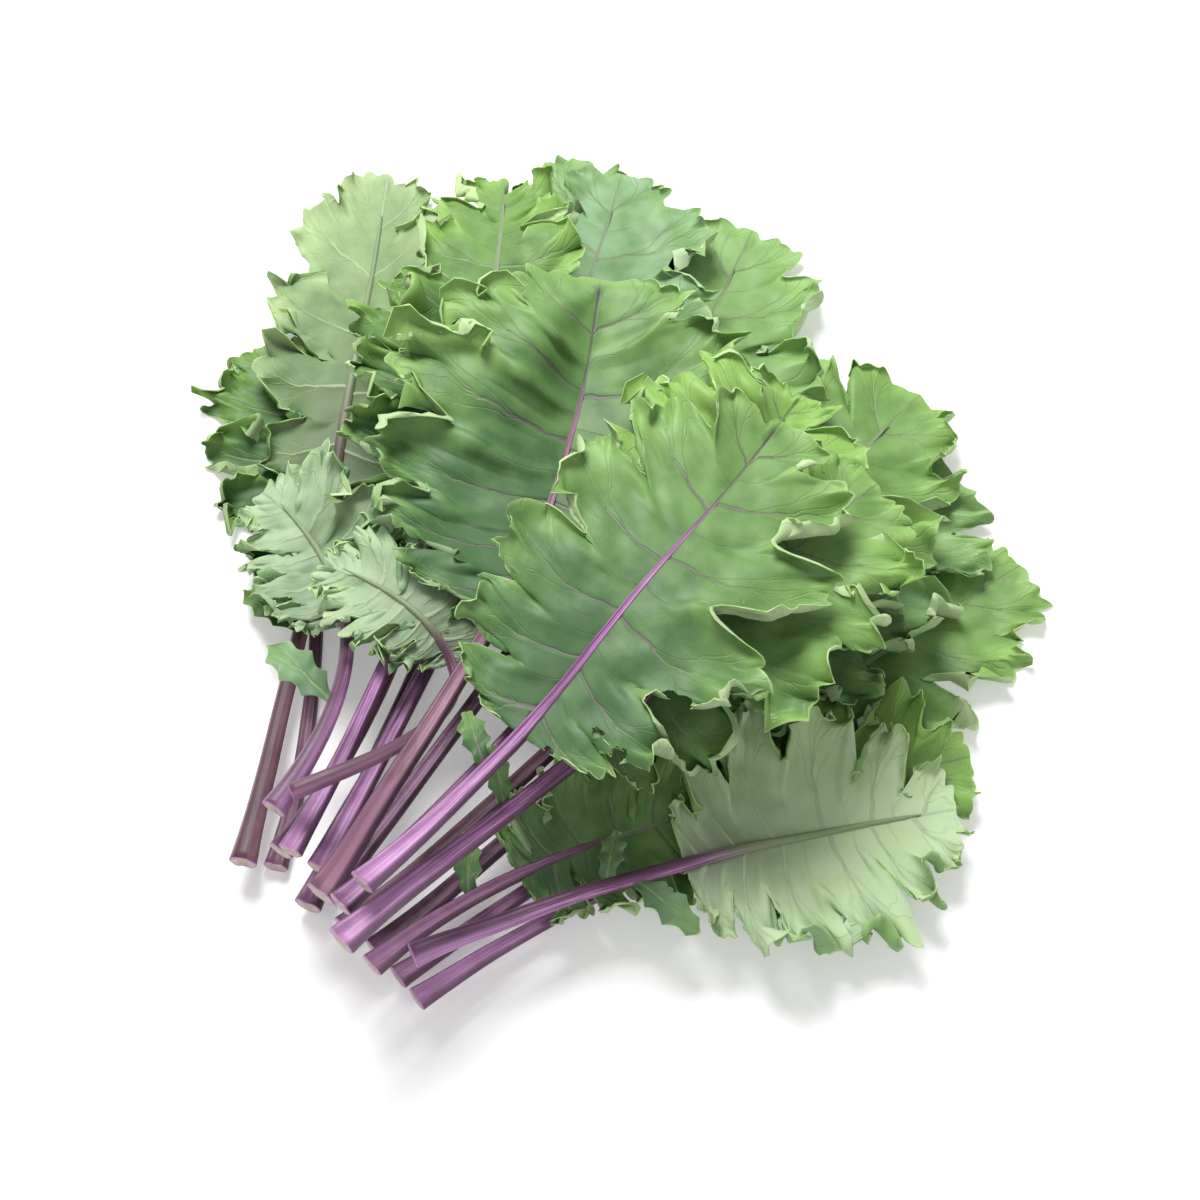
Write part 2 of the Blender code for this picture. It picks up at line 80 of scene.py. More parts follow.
# The blade's outline, counted in teeth along one side from its base to its tip
LOBES = 6
TEETH_PER_LOBE = 3
TEETH = LOBES * TEETH_PER_LOBE
TOOTH_DEPTH = 0.11
SINUS_DEPTHS = (0.4, 0.5, 0.42, 0.38, 0.34, 0.28, 0.0)
SINUS_SPAN = (0.35, 1.25)  # each SPAN is the range of a random draw
TOOTH_SPAN = (0.5, 1.4)
BULGE_SPAN = (-0.08, 0.1)
DRIFT_SPAN = (-0.25, 0.25)  # of the lobes along the margin
STRENGTH_SPAN = (0.7, 1.2)  # of the waves
OVAL_SKEW = 0.96
OVAL_ROUNDNESS = 0.72
OVAL_BASE = 0.12
VEIN_SWEEP = 0.09  # how far the side veins bow back
WAVE_TEETH, FINE_WAVE_TEETH = 2.7, 1.6  # the waves' lengths
FINE_WAVE = 0.4  # the fine wave's height, of the other's
WAVE_START = 0.4  # how far out the waves begin
RIB_END = 0.84
VEIN_FAN_END = 0.94
VEIN_SPREAD = 1.1
FEET_STEP = 2.0  # in teeth, between the rings of the solid midrib
STEM_STATIONS = 9

# The fine blade
BLADE_HALF = 0.26  # half its thickness
LINES = 217  # of points along one side
ROWS = 23  # of points from the midrib to the margin
ROW_CROWDING = 1.5  # above 1, the rows crowd towards the margin
SCALLOP_DEPTH = 3.5
SCALLOP_MIDDLE = 0.64  # the scallops' mean height
SCALLOP_SPAN = (0.3, 1.5)
SCALLOPS = 1.45  # for each tooth
NOTCH_DEPTH = 13.0  # at most, of the cuts between lobes over the solid's own
NOTCH_SHARPNESS = 8
NOTCH_SPAN = (0.1, 1)
FRAY_DEPTH = 1.7  # of the margin's uneven line
FRAY_STEP = 0.45  # in teeth
SHORTEST_VEIN = 5.0  # over which the margin's own detail is scaled
EVEN_LINES, EVEN_ROWS = 4, 1  # that the solid's facets are evened out over
CALM_REACH = 12  # in lines, that the solid's waves are evened out over near the midrib
CALM_FROM, CALM_OVER = 0.4, 0.55  # how far out this begins to end, and over how far
TAUTNESS = 0.7  # how straight a blade runs from its midrib to its margin, where there is room
RIB_CLOSING = 0.09  # the share of the blade over which its two halves come together
SLOT_END = RIB_END - RIB_CLOSING  # the halves are joined from here to the tip
RIB_HOLD = 0.36  # from the stem's middle to the blade's inner edge, of the stem's width
ATTACH_HEIGHT = 0.25  # from the stem's middle up to that edge, of the stem's height
ATTACH_REACH = 0.2  # how far out the blade bends to meet it
RUFFLE_START = 0.56  # how far out the margin's own ruffles begin
RUFFLE_LEAST = 0.15  # of the leaf's own frill height
RUFFLE_STEP = 1.7  # in teeth, between places where its height changes
RUFFLE_TURNS = (0.35, 0.8)  # ruffles for each tooth of the margin
RUFFLE_TURN_STEP = 1.3
RUFFLE_BEND = 1.5  # how far hills in the blade bend the ruffles' course
FRILL_START = 0.72
FRILL_TURNS = (0.8, 1.7)
FRILL_TURN_STEP = 0.9
FRILL_SHARE = 0.42  # of the ruffle's height
SWAY = 0.32  # how far ruffles lean over along the margin
CUP_HEIGHTS = (-1.5, 3.0)  # of a lobe's sides over its vein
CUP_STEP = 3.0
CUP_START = 0.35
CURL_START = 0.85
CURL_ANGLE = 3.6
CURL_STEP = 1.1  # in teeth
CURLS = (-0.75, 1.6)  # below 0 the margin isn't curled
GROOVE_DEPTH = 0.4  # of a side vein
GROOVE_WIDTH = 1.3
QUILT_HEIGHT = 0.5  # of the blade's rise between side veins
QUILT_REACH = 7.0
HILL_WAVES = 6
HILL_SPAN = (0.7, 1.4)
SWELL_LENGTH = 46.0
SWELL_SHARE = 0.4  # of the leaf's own frill height
SWELL_START = 0.15
PUCKER_LENGTH = 15.0
PUCKER_HEIGHT = 0.45
CREST_HEIGHT = 5.0  # the ruffle height at which crests get their whole painted highlight and troughs their whole painted shade
SHARP_ANGLE = 70.0

# The fine stem
STEM_RINGS = 96
SECTION_STEPS = 4  # points between two corners of the section
RIDGES = 7
RIDGE_HEIGHT = 0.022
STEM_READINGS = 161  # of the solid's height along the stem
STEM_EVENING = 6  # readings
RIB_REACH = RIB_END + 0.03
TIP_LENGTH = 9.0
TIP_WIDTH = 0.35  # of the width where the tip begins
UNEVEN_WIDTH = (24.0, 0.97, 1.03)  # the step along the stem, and the span
UNEVEN_LINE = (40.0, -0.5, 0.5)
CUT_RINGS = ((0.45, 0.5), (0.9, -0.5))  # size of the cut end, and depth in millimetres
CUT_MIDDLE = 0.8

# Room between leaves
GRID_CELL = 1.5
GRID_REACH = 290.0
TOUCH = 0.35  # least height kept between the middles of two sheets
FLOOR_GAP = 0.4  # from the table to the middle of the lowest sheet
ABOVE = 0.5  # metres, over everything
ROOM_REACH = 2  # in lines and rows, that the room under a leaf is evened out over
CLEAR_CELLS = 2  # cells that a neighbour's height counts beyond its own place
OPEN_AIR = 400.0  # stands for the room over a leaf with nothing on it

UP, UNDER = 1, -1
PLACE_STEP = 300.0  # in millimetres of pattern, so that no two leaves share their mottling

# The fields up to leaflets are the solid leaf's own.
# tone: 0 dark green to 1 yellow green. blue: how waxy blue. purple: how far purple runs in the veins.
# frill: height of the fine ruffles along the margin. plum, rose: how dark and how dusty the stem is.
Leaf = namedtuple(
    "Leaf",
    "cut tip bow petiole half_width stem lift ruffle face seed leaflets "
    "tone blue purple frill plum rose",
)

# From the table up
LEAVES = (
    Leaf((40, -192), (142, 152), 3, 0.40, 56, 8, (4, 5), 4, UP, 1, (), 0.34, 0.1, 0.3, 13, 0.1, 0.2),
    Leaf((54, -196), (180, 50), 13, 0.44, 52, 8, (3, 6), 4, UP, 2, (), 0.42, 0.0, 0.3, 13, 0.0, 0.1),
    Leaf((-38, -186), (-230, 22), -22, 0.50, 42, 8, (5, 3), 4, UP, 3, (), 0.08, 0.0, 0.5, 9, 0.5, 0.6),
    Leaf((27, -191), (86, 174), 1, 0.46, 62, 9, (4, 3), 4, UP, 4, (), 0.22, 0.35, 0.4, 13, 0.6, 0.3),
    Leaf((-13, -192), (-172, 214), -11, 0.50, 52, 9, (3, 3), 4, UP, 5, (), 0.4, 0.4, 0.4, 9, 0.5, 0.1),
    Leaf((13, -194), (50, 200), -6, 0.46, 64, 9, (4, 2), 4, UP, 6, (), 0.34, 0.1, 0.3, 12, 0.45, 0.7),
    Leaf((0, -190), (-76, 230), -12, 0.48, 66, 9, (3, 3), 4, UP, 7, (), 0.5, 0.3, 0.4, 10, 0.6, 0.1),
    Leaf((-8, -184), (-148, 212), -12, 0.52, 62, 9, (4, 2), 5, UP, 8, (), 0.25, 0.7, 0.4, 9, 0.2, 0.0),
    Leaf(
        (34, -200), (105, -46), 12, 0.45, 40, 8, (6, 4), 6, UP, 9,
        ((0.30, 1, 30),), 0.4, 0.2, 0.5, 8, 0.1, 0.35,
    ),
    Leaf(
        (47, -187), (190, 22), 8, 0.50, 56, 8, (6, 2), 7, UNDER, 10,
        ((0.40, -1, 38), (0.35, 1, 28)), 1.0, 0.55, 0.1, 9, 0.0, 0.1,
    ),
    Leaf(
        (-48, -196), (-250, 142), -6, 0.44, 47, 9, (0, 8), 7, UNDER, 11,
        ((0.30, 1, 38), (0.37, -1, 26)), 0.14, 0.0, 0.25, 8, 0.15, 0.8,
    ),
    Leaf((-26, -188), (-172, 92), -30, 0.50, 50, 8, (4, 4), 5, UP, 12, (), 0.1, 0.0, 0.9, 9, 0.3, 0.5),
    Leaf((-20, -188), (-186, 162), -24, 0.60, 42, 8, (6, 4), 6, UP, 13, (), 0.34, 0.0, 0.3, 11, 0.1, 0.0),
    Leaf(
        (-34, -180), (-166, -48), -36, 0.52, 36, 8, (4, 8), 5, UNDER, 14,
        ((0.27, 1, 44),), 0.12, 0.5, 0.2, 8, 0.0, 0.15,
    ),
    Leaf((-30, -172), (-104, -74), -66, 0.60, 28, 6, (6, 6), 4, UNDER, 15, (), 0.15, 0.5, 0.2, 7, 0.1, 0.6),
    Leaf((5, -196), (-95, 126), -22, 0.44, 84, 10, (5, 5), 6, UP, 16, (), 0.2, 0.15, 0.9, 7, 0.15, 0.7),
    Leaf((19, -197), (16, 141), -10, 0.56, 54, 9, (7, 7), 6, UP, 17, (), 0.9, 0.0, 0.3, 11, 0.3, 0.1),
    Leaf(
        (32, -210), (78, 112), 0, 0.44, 60, 10, (5, 2), 6, UP, 18,
        ((0.28, 1, 26),), 0.4, 0.1, 0.6, 10, 0.0, 0.1,
    ),
    Leaf(
        (26, -188), (30, 100), -6, 0.33, 66, 9, (4, 3), 7, UP, 19,
        ((0.25, 1, 30),), 0.3, 0.16, 0.8, 6, 0.0, 0.0,
    ),
)

# The stem's section: a flat underside, round flanks and a shallow channel along the top
SECTION = np.array(
    ((-0.24, -0.5), (0.24, -0.5), (0.5, -0.05), (0.32, 0.42), (0.0, 0.32), (-0.32, 0.42), (-0.5, -0.05))
)
SECTION_RISE = 0.09  # how far the section's middle stands over the middle of its centreline

# A leaflet's rows: share of its length, and half width as a share of its widest
LEAFLET_ROWS = ((0.0, 0.25), (0.25, 0.7), (0.5, 1.0), (0.78, 0.9), (1.0, 0.15))
LEAFLET_HALF_WIDTH = 0.2
LEAFLET_HEADING = (0.85, 0.52)
LEAFLET_LINES = 41
LEAFLET_COLUMNS = 17
LEAFLET_TONE = 0.0
LEAFLET_TRIM = 0.16
LEAFLET_TEETH = 3.6
LEAFLET_TOOTH = 0.34
LEAFLET_WAVES = 3.2
LEAFLET_WAVE_HEIGHT = 1.1
LEAFLET_ROOT = 3  # lines that stay low on the stem
LEAFLET_PLACE_STEP = 90.0

# Places in plan, with a radius, where insects have eaten through the top leaf
HOLES = (
    (107.0, -58.0, 6.0),
    (101.0, -62.0, 5.0),
    (111.0, -64.0, 5.0),
    (86.5, -86.1, 2.6),
    (99.5, -88.8, 3.1),
    (100.5, -54.9, 2.2),
    (73.5, -103.8, 2.2),
)
HOLE_RAGGED = 0.22  # how uneven a hole's edge is, of its radius

# A lobe's fine veins: how far out one starts, and its distance in teeth from the lobe's own vein
# there and at the margin
VEIN_BRANCHES = ((0.28, 0.0, 1.0), (0.5, 0.0, 0.45), (0.55, 0.38, 1.4), (0.74, 0.0, 0.24))
VEIN_EDGE = (0.45, 1.25)  # distances in millimetres over which a vein fades
FINE_VEIN_EDGE = (0.14, 0.5)
MIDVEIN_EDGE = (0.35, 0.9)

# Colours, linear
DARK_GREEN = (0.040, 0.112, 0.028)
FRESH_GREEN = (0.245, 0.43, 0.10)
BLUE_GREEN = (0.235, 0.38, 0.23)
UNDERSIDE = (0.14, 0.22, 0.095)
UNDERSIDE_LIGHT = (0.45, 0.60, 0.29)
UNDERSIDE_WAX = (0.43, 0.56, 0.41)
# painted shade, greying a blade near its base and midrib
BASE_SHADE_GREY = (0.15, 0.165, 0.125)
PALE_VEIN = (0.20, 0.33, 0.11)
UNDERSIDE_VEIN = (0.36, 0.46, 0.27)
# a pale margin line and the sheet's rim: painted highlight along leaf margins
RIM_HIGHLIGHT_GREEN = (0.46, 0.64, 0.28)
VEIN_PURPLE = (0.13, 0.10, 0.12)
STEM_PURPLE = (0.17, 0.045, 0.165)
STEM_PINK = (0.55, 0.28, 0.54)
# dark plum patches on stems, and painted shade on a stem's sides
STEM_PLUM_AND_SHADE = (0.05, 0.02, 0.03)
STEM_ROSE = (0.27, 0.14, 0.15)
CUT_PALE = (0.60, 0.50, 0.44)
RIB_GREEN = (0.26, 0.35, 0.18)
RIB_PURPLE = (0.15, 0.115, 0.14)
GLOSS = 0.28

# dusk: how much painted grey shade it has near its base and midrib. purple: how purple its veins may be.
# bump: height of its veins.
Face = namedtuple("Face", "name dark fresh wax vein dusk purple roughness bump")
UPPER_FACE = Face("leaf_upper", DARK_GREEN, FRESH_GREEN, BLUE_GREEN, PALE_VEIN, 0.15, 1.0, 0.48, -1.0)
LOWER_FACE = Face(
    "leaf_under", UNDERSIDE, UNDERSIDE_LIGHT, UNDERSIDE_WAX, UNDERSIDE_VEIN, 0.85, 0.35, 0.6, 1.0
)

# The view. A light: its name, place, size and energy
CAMERA_AZIMUTH = 38.0
CAMERA_ELEVATION = 63.0
CAMERA_DISTANCE = 1.115
CAMERA_LENS = 72.0
CAMERA_TARGET = (0.0295, -0.0118, 0.033)
LIGHTS = (("key", (-0.9, 0.6, 1.5), 0.9, 43), ("fill", (1.2, -0.9, 1.3), 1.6, 6))
DAYLIGHT = 0.44
FLOOR_REACH = 3.0
FLOOR_WHITE = (0.86, 0.86, 0.86)
FLOOR_ROUGHNESS, FLOOR_GLOSS = 0.9, 0.1
WHITE = (1.0, 1.0, 1.0)
FLOOR_GLOW = 0.25  # keeps the shadows on the floor faint


def smoothstep(x):
    x = np.clip(x, 0.0, 1.0)
    return x * x * (3 - 2 * x)


def slide(values, reach, axis=0):
    """The mean over reach steps either way along an axis."""
    pad = [(reach, reach) if k == axis else (0, 0) for k in range(values.ndim)]
    padded = np.pad(values, pad, mode="edge")
    size = values.shape[axis]
    shifted = [np.take(padded, range(k, k + size), axis) for k in range(2 * reach + 1)]
    return np.mean(shifted, axis=0)


def unit(vectors):
    length = np.linalg.norm(vectors, axis=-1, keepdims=True)
    return vectors / np.maximum(length, 1e-9)


def wander(draw, at, step, low, high):
    """A smooth random value that changes every step along at."""
    values = draw.uniform(low, high, int(np.max(at) / step) + 3)
    place = np.asarray(at) / step
    k = place.astype(int)
    return values[k] + (values[k + 1] - values[k]) * smoothstep(place - k)


class Path:
    """A leaf's line in plan, from its cut end at 0 to its tip at 1."""

    def __init__(self, leaf, shift):
        self.leaf = leaf
        self.cut = np.array(leaf.cut, float) + shift
        self.chord = np.array(leaf.tip, float) - leaf.cut
        self.length = float(np.hypot(*self.chord))
        self.left = np.array((-self.chord[1], self.chord[0])) / self.length
        self.blade = self.length * (1 - leaf.petiole)

    def point(self, share):
        share = np.asarray(share)[..., None]
        bow = self.leaf.bow * 4 * share * (1 - share)
        return self.cut + self.chord * share + self.left * bow

    def across(self, share):
        """The unit vector to the left of the line."""
        share = np.asarray(share)[..., None]
        along = self.chord + self.left * self.leaf.bow * 4 * (1 - 2 * share)
        along = unit(along)
        return np.stack((-along[..., 1], along[..., 0]), axis=-1)

    def on_leaf(self, blade_share):
        return self.leaf.petiole + (1 - self.leaf.petiole) * blade_share

    def stem_width(self, share):
        flare = 1 + CUT_FLARE * np.exp(-share * self.length / FLARE_LENGTH)
        petiole = self.leaf.stem * (1 - PETIOLE_TAPER * np.clip(share / self.leaf.petiole, 0, 1))
        up_blade = (share - self.leaf.petiole) / (1 - self.leaf.petiole) / RIB_END
        taper = np.clip(up_blade, 0, 1) ** RIB_TAPER
        return petiole * flare * (1 - taper) + RIB_TIP_WIDTH * taper


def vein_foot(teeth):
    """The share up the blade at which the side vein of a place on the margin leaves."""
    return VEIN_FAN_END * (teeth / TEETH) ** VEIN_SPREAD


class Side:
    """One half of a blade: the solid's own outline and waves, with a finer margin added."""

    def __init__(self, leaf, side):
        self.leaf = leaf
        draw = np.random.default_rng(leaf.seed * 10 + (side > 0))
        self.sinus = np.array(SINUS_DEPTHS) * draw.uniform(*SINUS_SPAN, LOBES + 1)
        self.tooth = draw.uniform(*TOOTH_SPAN, TEETH + 1)
        self.bulge = draw.uniform(*BULGE_SPAN, LOBES + 1)
        self.phase = draw.uniform(0, 1, 2)
        self.drift = draw.uniform(*DRIFT_SPAN, LOBES + 1)
        self.strength = draw.uniform(*STRENGTH_SPAN, LOBES + 1)
        self.scallop_phase = draw.uniform(0, 1)
        self.scallop = draw.uniform(*SCALLOP_SPAN, TEETH + 1)
        self.fray = draw.uniform(-1, 1, int(TEETH / FRAY_STEP) + 2)
        notch_draw = np.random.default_rng(leaf.seed * 10 + side + 700)
        self.notch = notch_draw.uniform(*NOTCH_SPAN, LOBES + 1)
        self.draw = draw

    def along_lobes(self, values, teeth):
        return np.interp(teeth / TEETH_PER_LOBE, range(LOBES + 1), values)

    def lobe(self, teeth):
        return np.clip(teeth / TEETH_PER_LOBE + self.along_lobes(self.drift, teeth), 0, LOBES)

    def reach(self, teeth):
        """How far the margin comes out, against a plain oval."""
        lobe = self.lobe(teeth)
        sinus = self.sinus[np.round(lobe).astype(int)]
        cut = sinus * (0.5 + 0.5 * np.cos(2 * np.pi * lobe)) ** 4
        tooth = self.tooth[teeth.astype(int)] * (1 - np.abs(np.cos(np.pi * teeth)))
        fade = np.sin(np.pi * teeth / TEETH) ** 0.3
        reach = 1 - cut + self.along_lobes(self.bulge, teeth) + TOOTH_DEPTH * fade * (tooth - 0.35)
        return np.where(teeth >= TEETH, 1.0, reach)

    def fine_margin(self, teeth):
        """How far scallops, notches and an uneven line move the margin out, in millimetres."""
        scallop = np.abs(np.cos(np.pi * (SCALLOPS * teeth + self.scallop_phase))) - SCALLOP_MIDDLE
        scallop = scallop * np.interp(teeth, range(TEETH + 1), self.scallop)
        lobe = self.lobe(teeth)
        border = (0.5 + 0.5 * np.cos(2 * np.pi * lobe)) ** NOTCH_SHARPNESS
        notch = border * self.notch[np.round(lobe).astype(int)]
        fray = np.interp(teeth / FRAY_STEP, range(len(self.fray)), self.fray)
        ends = smoothstep(teeth) * smoothstep((TEETH - teeth) / 0.5)
        return ends * (SCALLOP_DEPTH * scallop + FRAY_DEPTH * fray - NOTCH_DEPTH * notch)

    def flat(self, teeth, out, path):
        """Distance up the blade and away from the midrib, before the leaf is bent."""
        share = teeth / TEETH
        foot = vein_foot(teeth)
        oval_along = 0.5 - 0.5 * np.cos(np.pi * share**OVAL_SKEW)
        oval_out = np.sin(np.pi * share) ** OVAL_ROUNDNESS + OVAL_BASE * (1 - share)
        oval_out = np.where(teeth >= TEETH, 0.0, oval_out * self.leaf.half_width / path.blade)
        run = np.hypot(oval_along - foot, oval_out) * path.blade
        reach = (self.reach(teeth) + self.fine_margin(teeth) / np.maximum(run, SHORTEST_VEIN)) * out
        swept_back = VEIN_SWEEP * np.sin(np.pi * out) * oval_out
        along = foot + (oval_along - foot) * reach - swept_back
        return along * path.blade, oval_out * reach * path.blade

    def wave(self, teeth, out):
        turn = teeth / WAVE_TEETH + self.phase[0] + self.along_lobes(self.drift, teeth)
        fine = teeth / FINE_WAVE_TEETH + self.phase[1]
        ends = np.sin(np.pi * teeth / TEETH) ** 0.4
        swing = self.leaf.ruffle * self.along_lobes(self.strength, teeth) * ends
        swing = swing * smoothstep((out - WAVE_START) / (1 - WAVE_START))
        return swing * (np.sin(2 * np.pi * turn) + FINE_WAVE * np.sin(2 * np.pi * fine)) / 1.2


class Solid:
    """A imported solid, read straight down and straight up."""

    def __init__(self, node):
        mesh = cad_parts[node].data
        points = [vertex.co for vertex in mesh.vertices]
        self.tree = BVHTree.FromPolygons(points, [face.vertices for face in mesh.polygons])
        self.low, self.high = (np.array(corner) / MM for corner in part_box(node))

    def faces_at(self, plan):
        """Heights of the underside and of the top at each place, nan where the solid isn't."""
        found = np.full((len(plan), 2), np.nan)
        for k, (x, y) in enumerate(plan * MM):
            top = self.tree.ray_cast(Vector((x, y, ABOVE)), Vector((0, 0, -1)))[0]
            if top is not None:
                under = self.tree.ray_cast(Vector((x, y, -ABOVE)), Vector((0, 0, 1)))[0]
                found[k] = (top.z if under is None else under.z, top.z)
        return found / MM

    def middle(self, plan):
        return self.faces_at(plan.reshape(-1, 2)).mean(axis=1).reshape(plan.shape[:-1])


def fill_gaps(heights):
    """Heights carried on to where the solid was missed."""
    rows = np.arange(heights.shape[1])
    lines = np.arange(heights.shape[0])
    filled = heights.copy()
    for line in filled:
        known = ~np.isnan(line)
        if known.any():
            line[:] = np.interp(rows, rows[known], line[known])
    known = ~np.isnan(filled[:, 0])
    for column in filled.T:
        column[:] = np.interp(lines, lines[known], column[known])
    return filled


def widen(heights, pick):
    """Each cell of a grid takes the highest or the lowest of the cells round it."""
    padded = np.pad(heights, CLEAR_CELLS, mode="edge")
    across, down = heights.shape
    steps = range(2 * CLEAR_CELLS + 1)
    return pick([padded[i : i + across, j : j + down] for i in steps for j in steps], axis=0)


class Room:
    """How far every leaf may move before it meets the leaf under or over it."""

    def __init__(self, solids):
        side = int(2 * GRID_REACH / GRID_CELL) + 1
        self.floors, self.ceilings = [], []
        spans = [self.span(pair, side) for pair in solids]
        floor = np.zeros((side, side))
        for _, top in spans:
            self.floors.append(widen(floor, np.max))
            floor = np.fmax(floor, top)
        ceiling = np.full((side, side), OPEN_AIR)
        for under, _ in reversed(spans):
            self.ceilings.insert(0, widen(ceiling, np.min))
            ceiling = np.fmin(ceiling, under)

    def span(self, pair, side):
        """The lowest underside and the highest top of a leaf's two solids on the grid."""
        under = np.full((side, side), np.nan)
        top = np.full((side, side), np.nan)
        for solid in pair:
            low = np.floor((solid.low[:2] + GRID_REACH) / GRID_CELL).astype(int)
            high = np.ceil((solid.high[:2] + GRID_REACH) / GRID_CELL).astype(int)
            i, j = np.mgrid[low[0] : high[0] + 1, low[1] : high[1] + 1]
            plan = np.stack((i, j), axis=-1) * GRID_CELL - GRID_REACH
            found = solid.faces_at(plan.reshape(-1, 2)).reshape(*i.shape, 2)
            under[i, j] = np.fmin(under[i, j], found[..., 0])
            top[i, j] = np.fmax(top[i, j], found[..., 1])
        return under, top

    def read(self, heights, plan):
        at = np.clip((plan + GRID_REACH) / GRID_CELL, 0, len(heights) - 2)
        i, j = np.round(at[..., 0]).astype(int), np.round(at[..., 1]).astype(int)
        return heights[i, j]

    def fit(self, number, points, rest):
        """The points kept within half the room that their leaf has about its height at rest."""
        floor = self.read(self.floors[number], points[..., :2])
        ceiling = self.read(self.ceilings[number], points[..., :2])
        down = np.maximum(0.5 * (rest - CAD_BLADE_HALF - floor), 0) + TOUCH
        up = np.maximum(0.5 * (ceiling - CAD_BLADE_HALF - rest), 0) + TOUCH
        down = slide(slide(down, ROOM_REACH), ROOM_REACH, 1)
        up = np.minimum(up, np.maximum(cad_box[1][2] / MM - rest, TOUCH))
        move = points[..., 2] - rest
        move = np.where(move > 0, up * np.tanh(move / up), down * np.tanh(move / down))
        fitted = points.copy()
        fitted[..., 2] = np.maximum(rest + move, FLOOR_GAP)
        return fitted


class FineLeaf:
    """One leaf's fine stem and blade, as grids of points over its solids."""

    def __init__(self, number, leaf, shift, stem, blade, room):
        self.number, self.leaf = number, leaf
        self.name = f"leaf_{number + 1:02d}"
        self.path = Path(leaf, shift)
        self.stem, self.blade, self.room = stem, blade, room
        self.shares = np.linspace(0.0, self.path.on_leaf(RIB_END), STEM_READINGS)
        found = fill_gaps(stem.middle(self.path.point(self.shares))[None, :])[0]
        height = STEM_HEIGHT_SHARE * self.path.stem_width(self.shares)
        middles = found + SECTION_RISE * leaf.face * height
        self.middles = slide(slide(middles, STEM_EVENING), STEM_EVENING)

    def stem_middle(self, share):
        return np.interp(share, self.shares, self.middles)

    def attach_height(self, share):
        height = STEM_HEIGHT_SHARE * self.path.stem_width(share)
        return self.stem_middle(share) + ATTACH_HEIGHT * self.leaf.face * height

    def half(self, side):
        """Points of one half of the blade, line by line from its base, with its colour facts."""
        leaf, path = self.leaf, self.path
        half = Side(leaf, side)
        teeth = np.linspace(0, TEETH, LINES)[:, None]
        out = 1 - (1 - np.linspace(0, 1, ROWS)[None, :]) ** ROW_CROWDING
        along, across = half.flat(teeth, out, path)
        foot_share = vein_foot(teeth)
        foot = path.on_leaf(foot_share)
        past_rib = smoothstep((foot_share - SLOT_END) / RIB_CLOSING)
        closed = smoothstep((foot_share - SLOT_END + RIB_CLOSING) / RIB_CLOSING)
        hold = RIB_HOLD * path.stem_width(foot) * (1 - closed)
        across = np.maximum(across, hold)
        tilt = math.radians(leaf.lift[0] if side > 0 else leaf.lift[1])
        away = across * math.cos(tilt) - half.wave(teeth, out) * math.sin(tilt)
        away = np.maximum(away, hold * math.cos(tilt))
        share = path.on_leaf(along / path.blade)
        plan = path.point(share) + path.across(share) * (side * away)[..., None]
        height = fill_gaps(self.blade.middle(plan))
        for _ in range(2):
            height = slide(slide(height, EVEN_LINES), EVEN_ROWS, 1)
        calm = slide(slide(height, CALM_REACH), CALM_REACH)
        attach = self.attach_height(foot)
        inner = attach + (calm[:, :1] - attach) * past_rib
        taut = inner + (calm[:, -1:] - inner) * out
        calm = calm + TAUTNESS * (taut - calm)
        calm = calm + (height - calm) * smoothstep((out - CALM_FROM) / CALM_OVER)
        pull = (1 - smoothstep(out / ATTACH_REACH)) * (1 - past_rib)
        height = height + (attach - height[:, :1]) * pull
        calm = calm + (attach - calm[:, :1]) * pull
        rest = np.concatenate((plan, calm[..., None]), axis=-1)
        moved, crest_shading = self.ruffle(half, rest, teeth, out, along, across)
        moved = self.room.fit(self.number, moved, height)
        own_place = np.full(along.shape, leaf.seed * PLACE_STEP)
        facts = {
            "place": half.lobe(teeth) * TEETH_PER_LOBE + 0 * out,
            "out": out + 0 * teeth,
            "pitch": line_pitch(rest),
            "rib": across,
            "along": along / path.blade,
            # how far ruffles raise or sink each place, used for painted highlights on crests and painted
            # shade in troughs
            "crest_shading": crest_shading,
            "flat_place": np.stack((along, side * across, own_place), axis=-1),
        }
        return moved, facts

    def ruffle(self, half, rest, teeth, out, along, across):
        """The surface with its veins sunk, its lobes cupped, its margin frilled and its edges curled.

        Also gives how far each place stands over or under the plain surface, from -1 to 1, for painted
        highlights on crests and painted shade in troughs."""
        draw, line = half.draw, teeth[:, 0]
        beside = unit(np.gradient(rest, axis=0))
        outward = unit(np.gradient(rest, axis=1))
        normal = np.cross(outward, beside)
        normal = unit(normal * np.where(normal[..., 2:] < 0, -1, 1))
        ends = np.sin(np.pi * teeth / TEETH) ** 0.5 * smoothstep((TEETH - teeth) / 1.5)

        half_lobe = 0.5 * TEETH_PER_LOBE
        off = np.abs((half.lobe(teeth) * TEETH_PER_LOBE) % TEETH_PER_LOBE - half_lobe)
        gap = off * line_pitch(rest)
        groove = -GROOVE_DEPTH * np.exp(-((gap / GROOVE_WIDTH) ** 2)) * (1 - 0.6 * out)
        quilt = QUILT_HEIGHT * (1 - np.exp(-((gap / QUILT_REACH) ** 2))) * smoothstep(out / 0.2)
        pucker = rolling(draw, along, across, PUCKER_LENGTH)
        swell = rolling(draw, along, across, SWELL_LENGTH)
        relief = self.leaf.face * (groove + quilt) + PUCKER_HEIGHT * pucker * smoothstep(out / 0.25)
        relief = relief + SWELL_SHARE * self.leaf.frill * swell * smoothstep((out - SWELL_START) / 0.6)
        cup = wander(draw, line, CUP_STEP, *CUP_HEIGHTS)[:, None] * (off / half_lobe) ** 2
        relief = relief + cup * smoothstep((out - CUP_START) / 0.5)

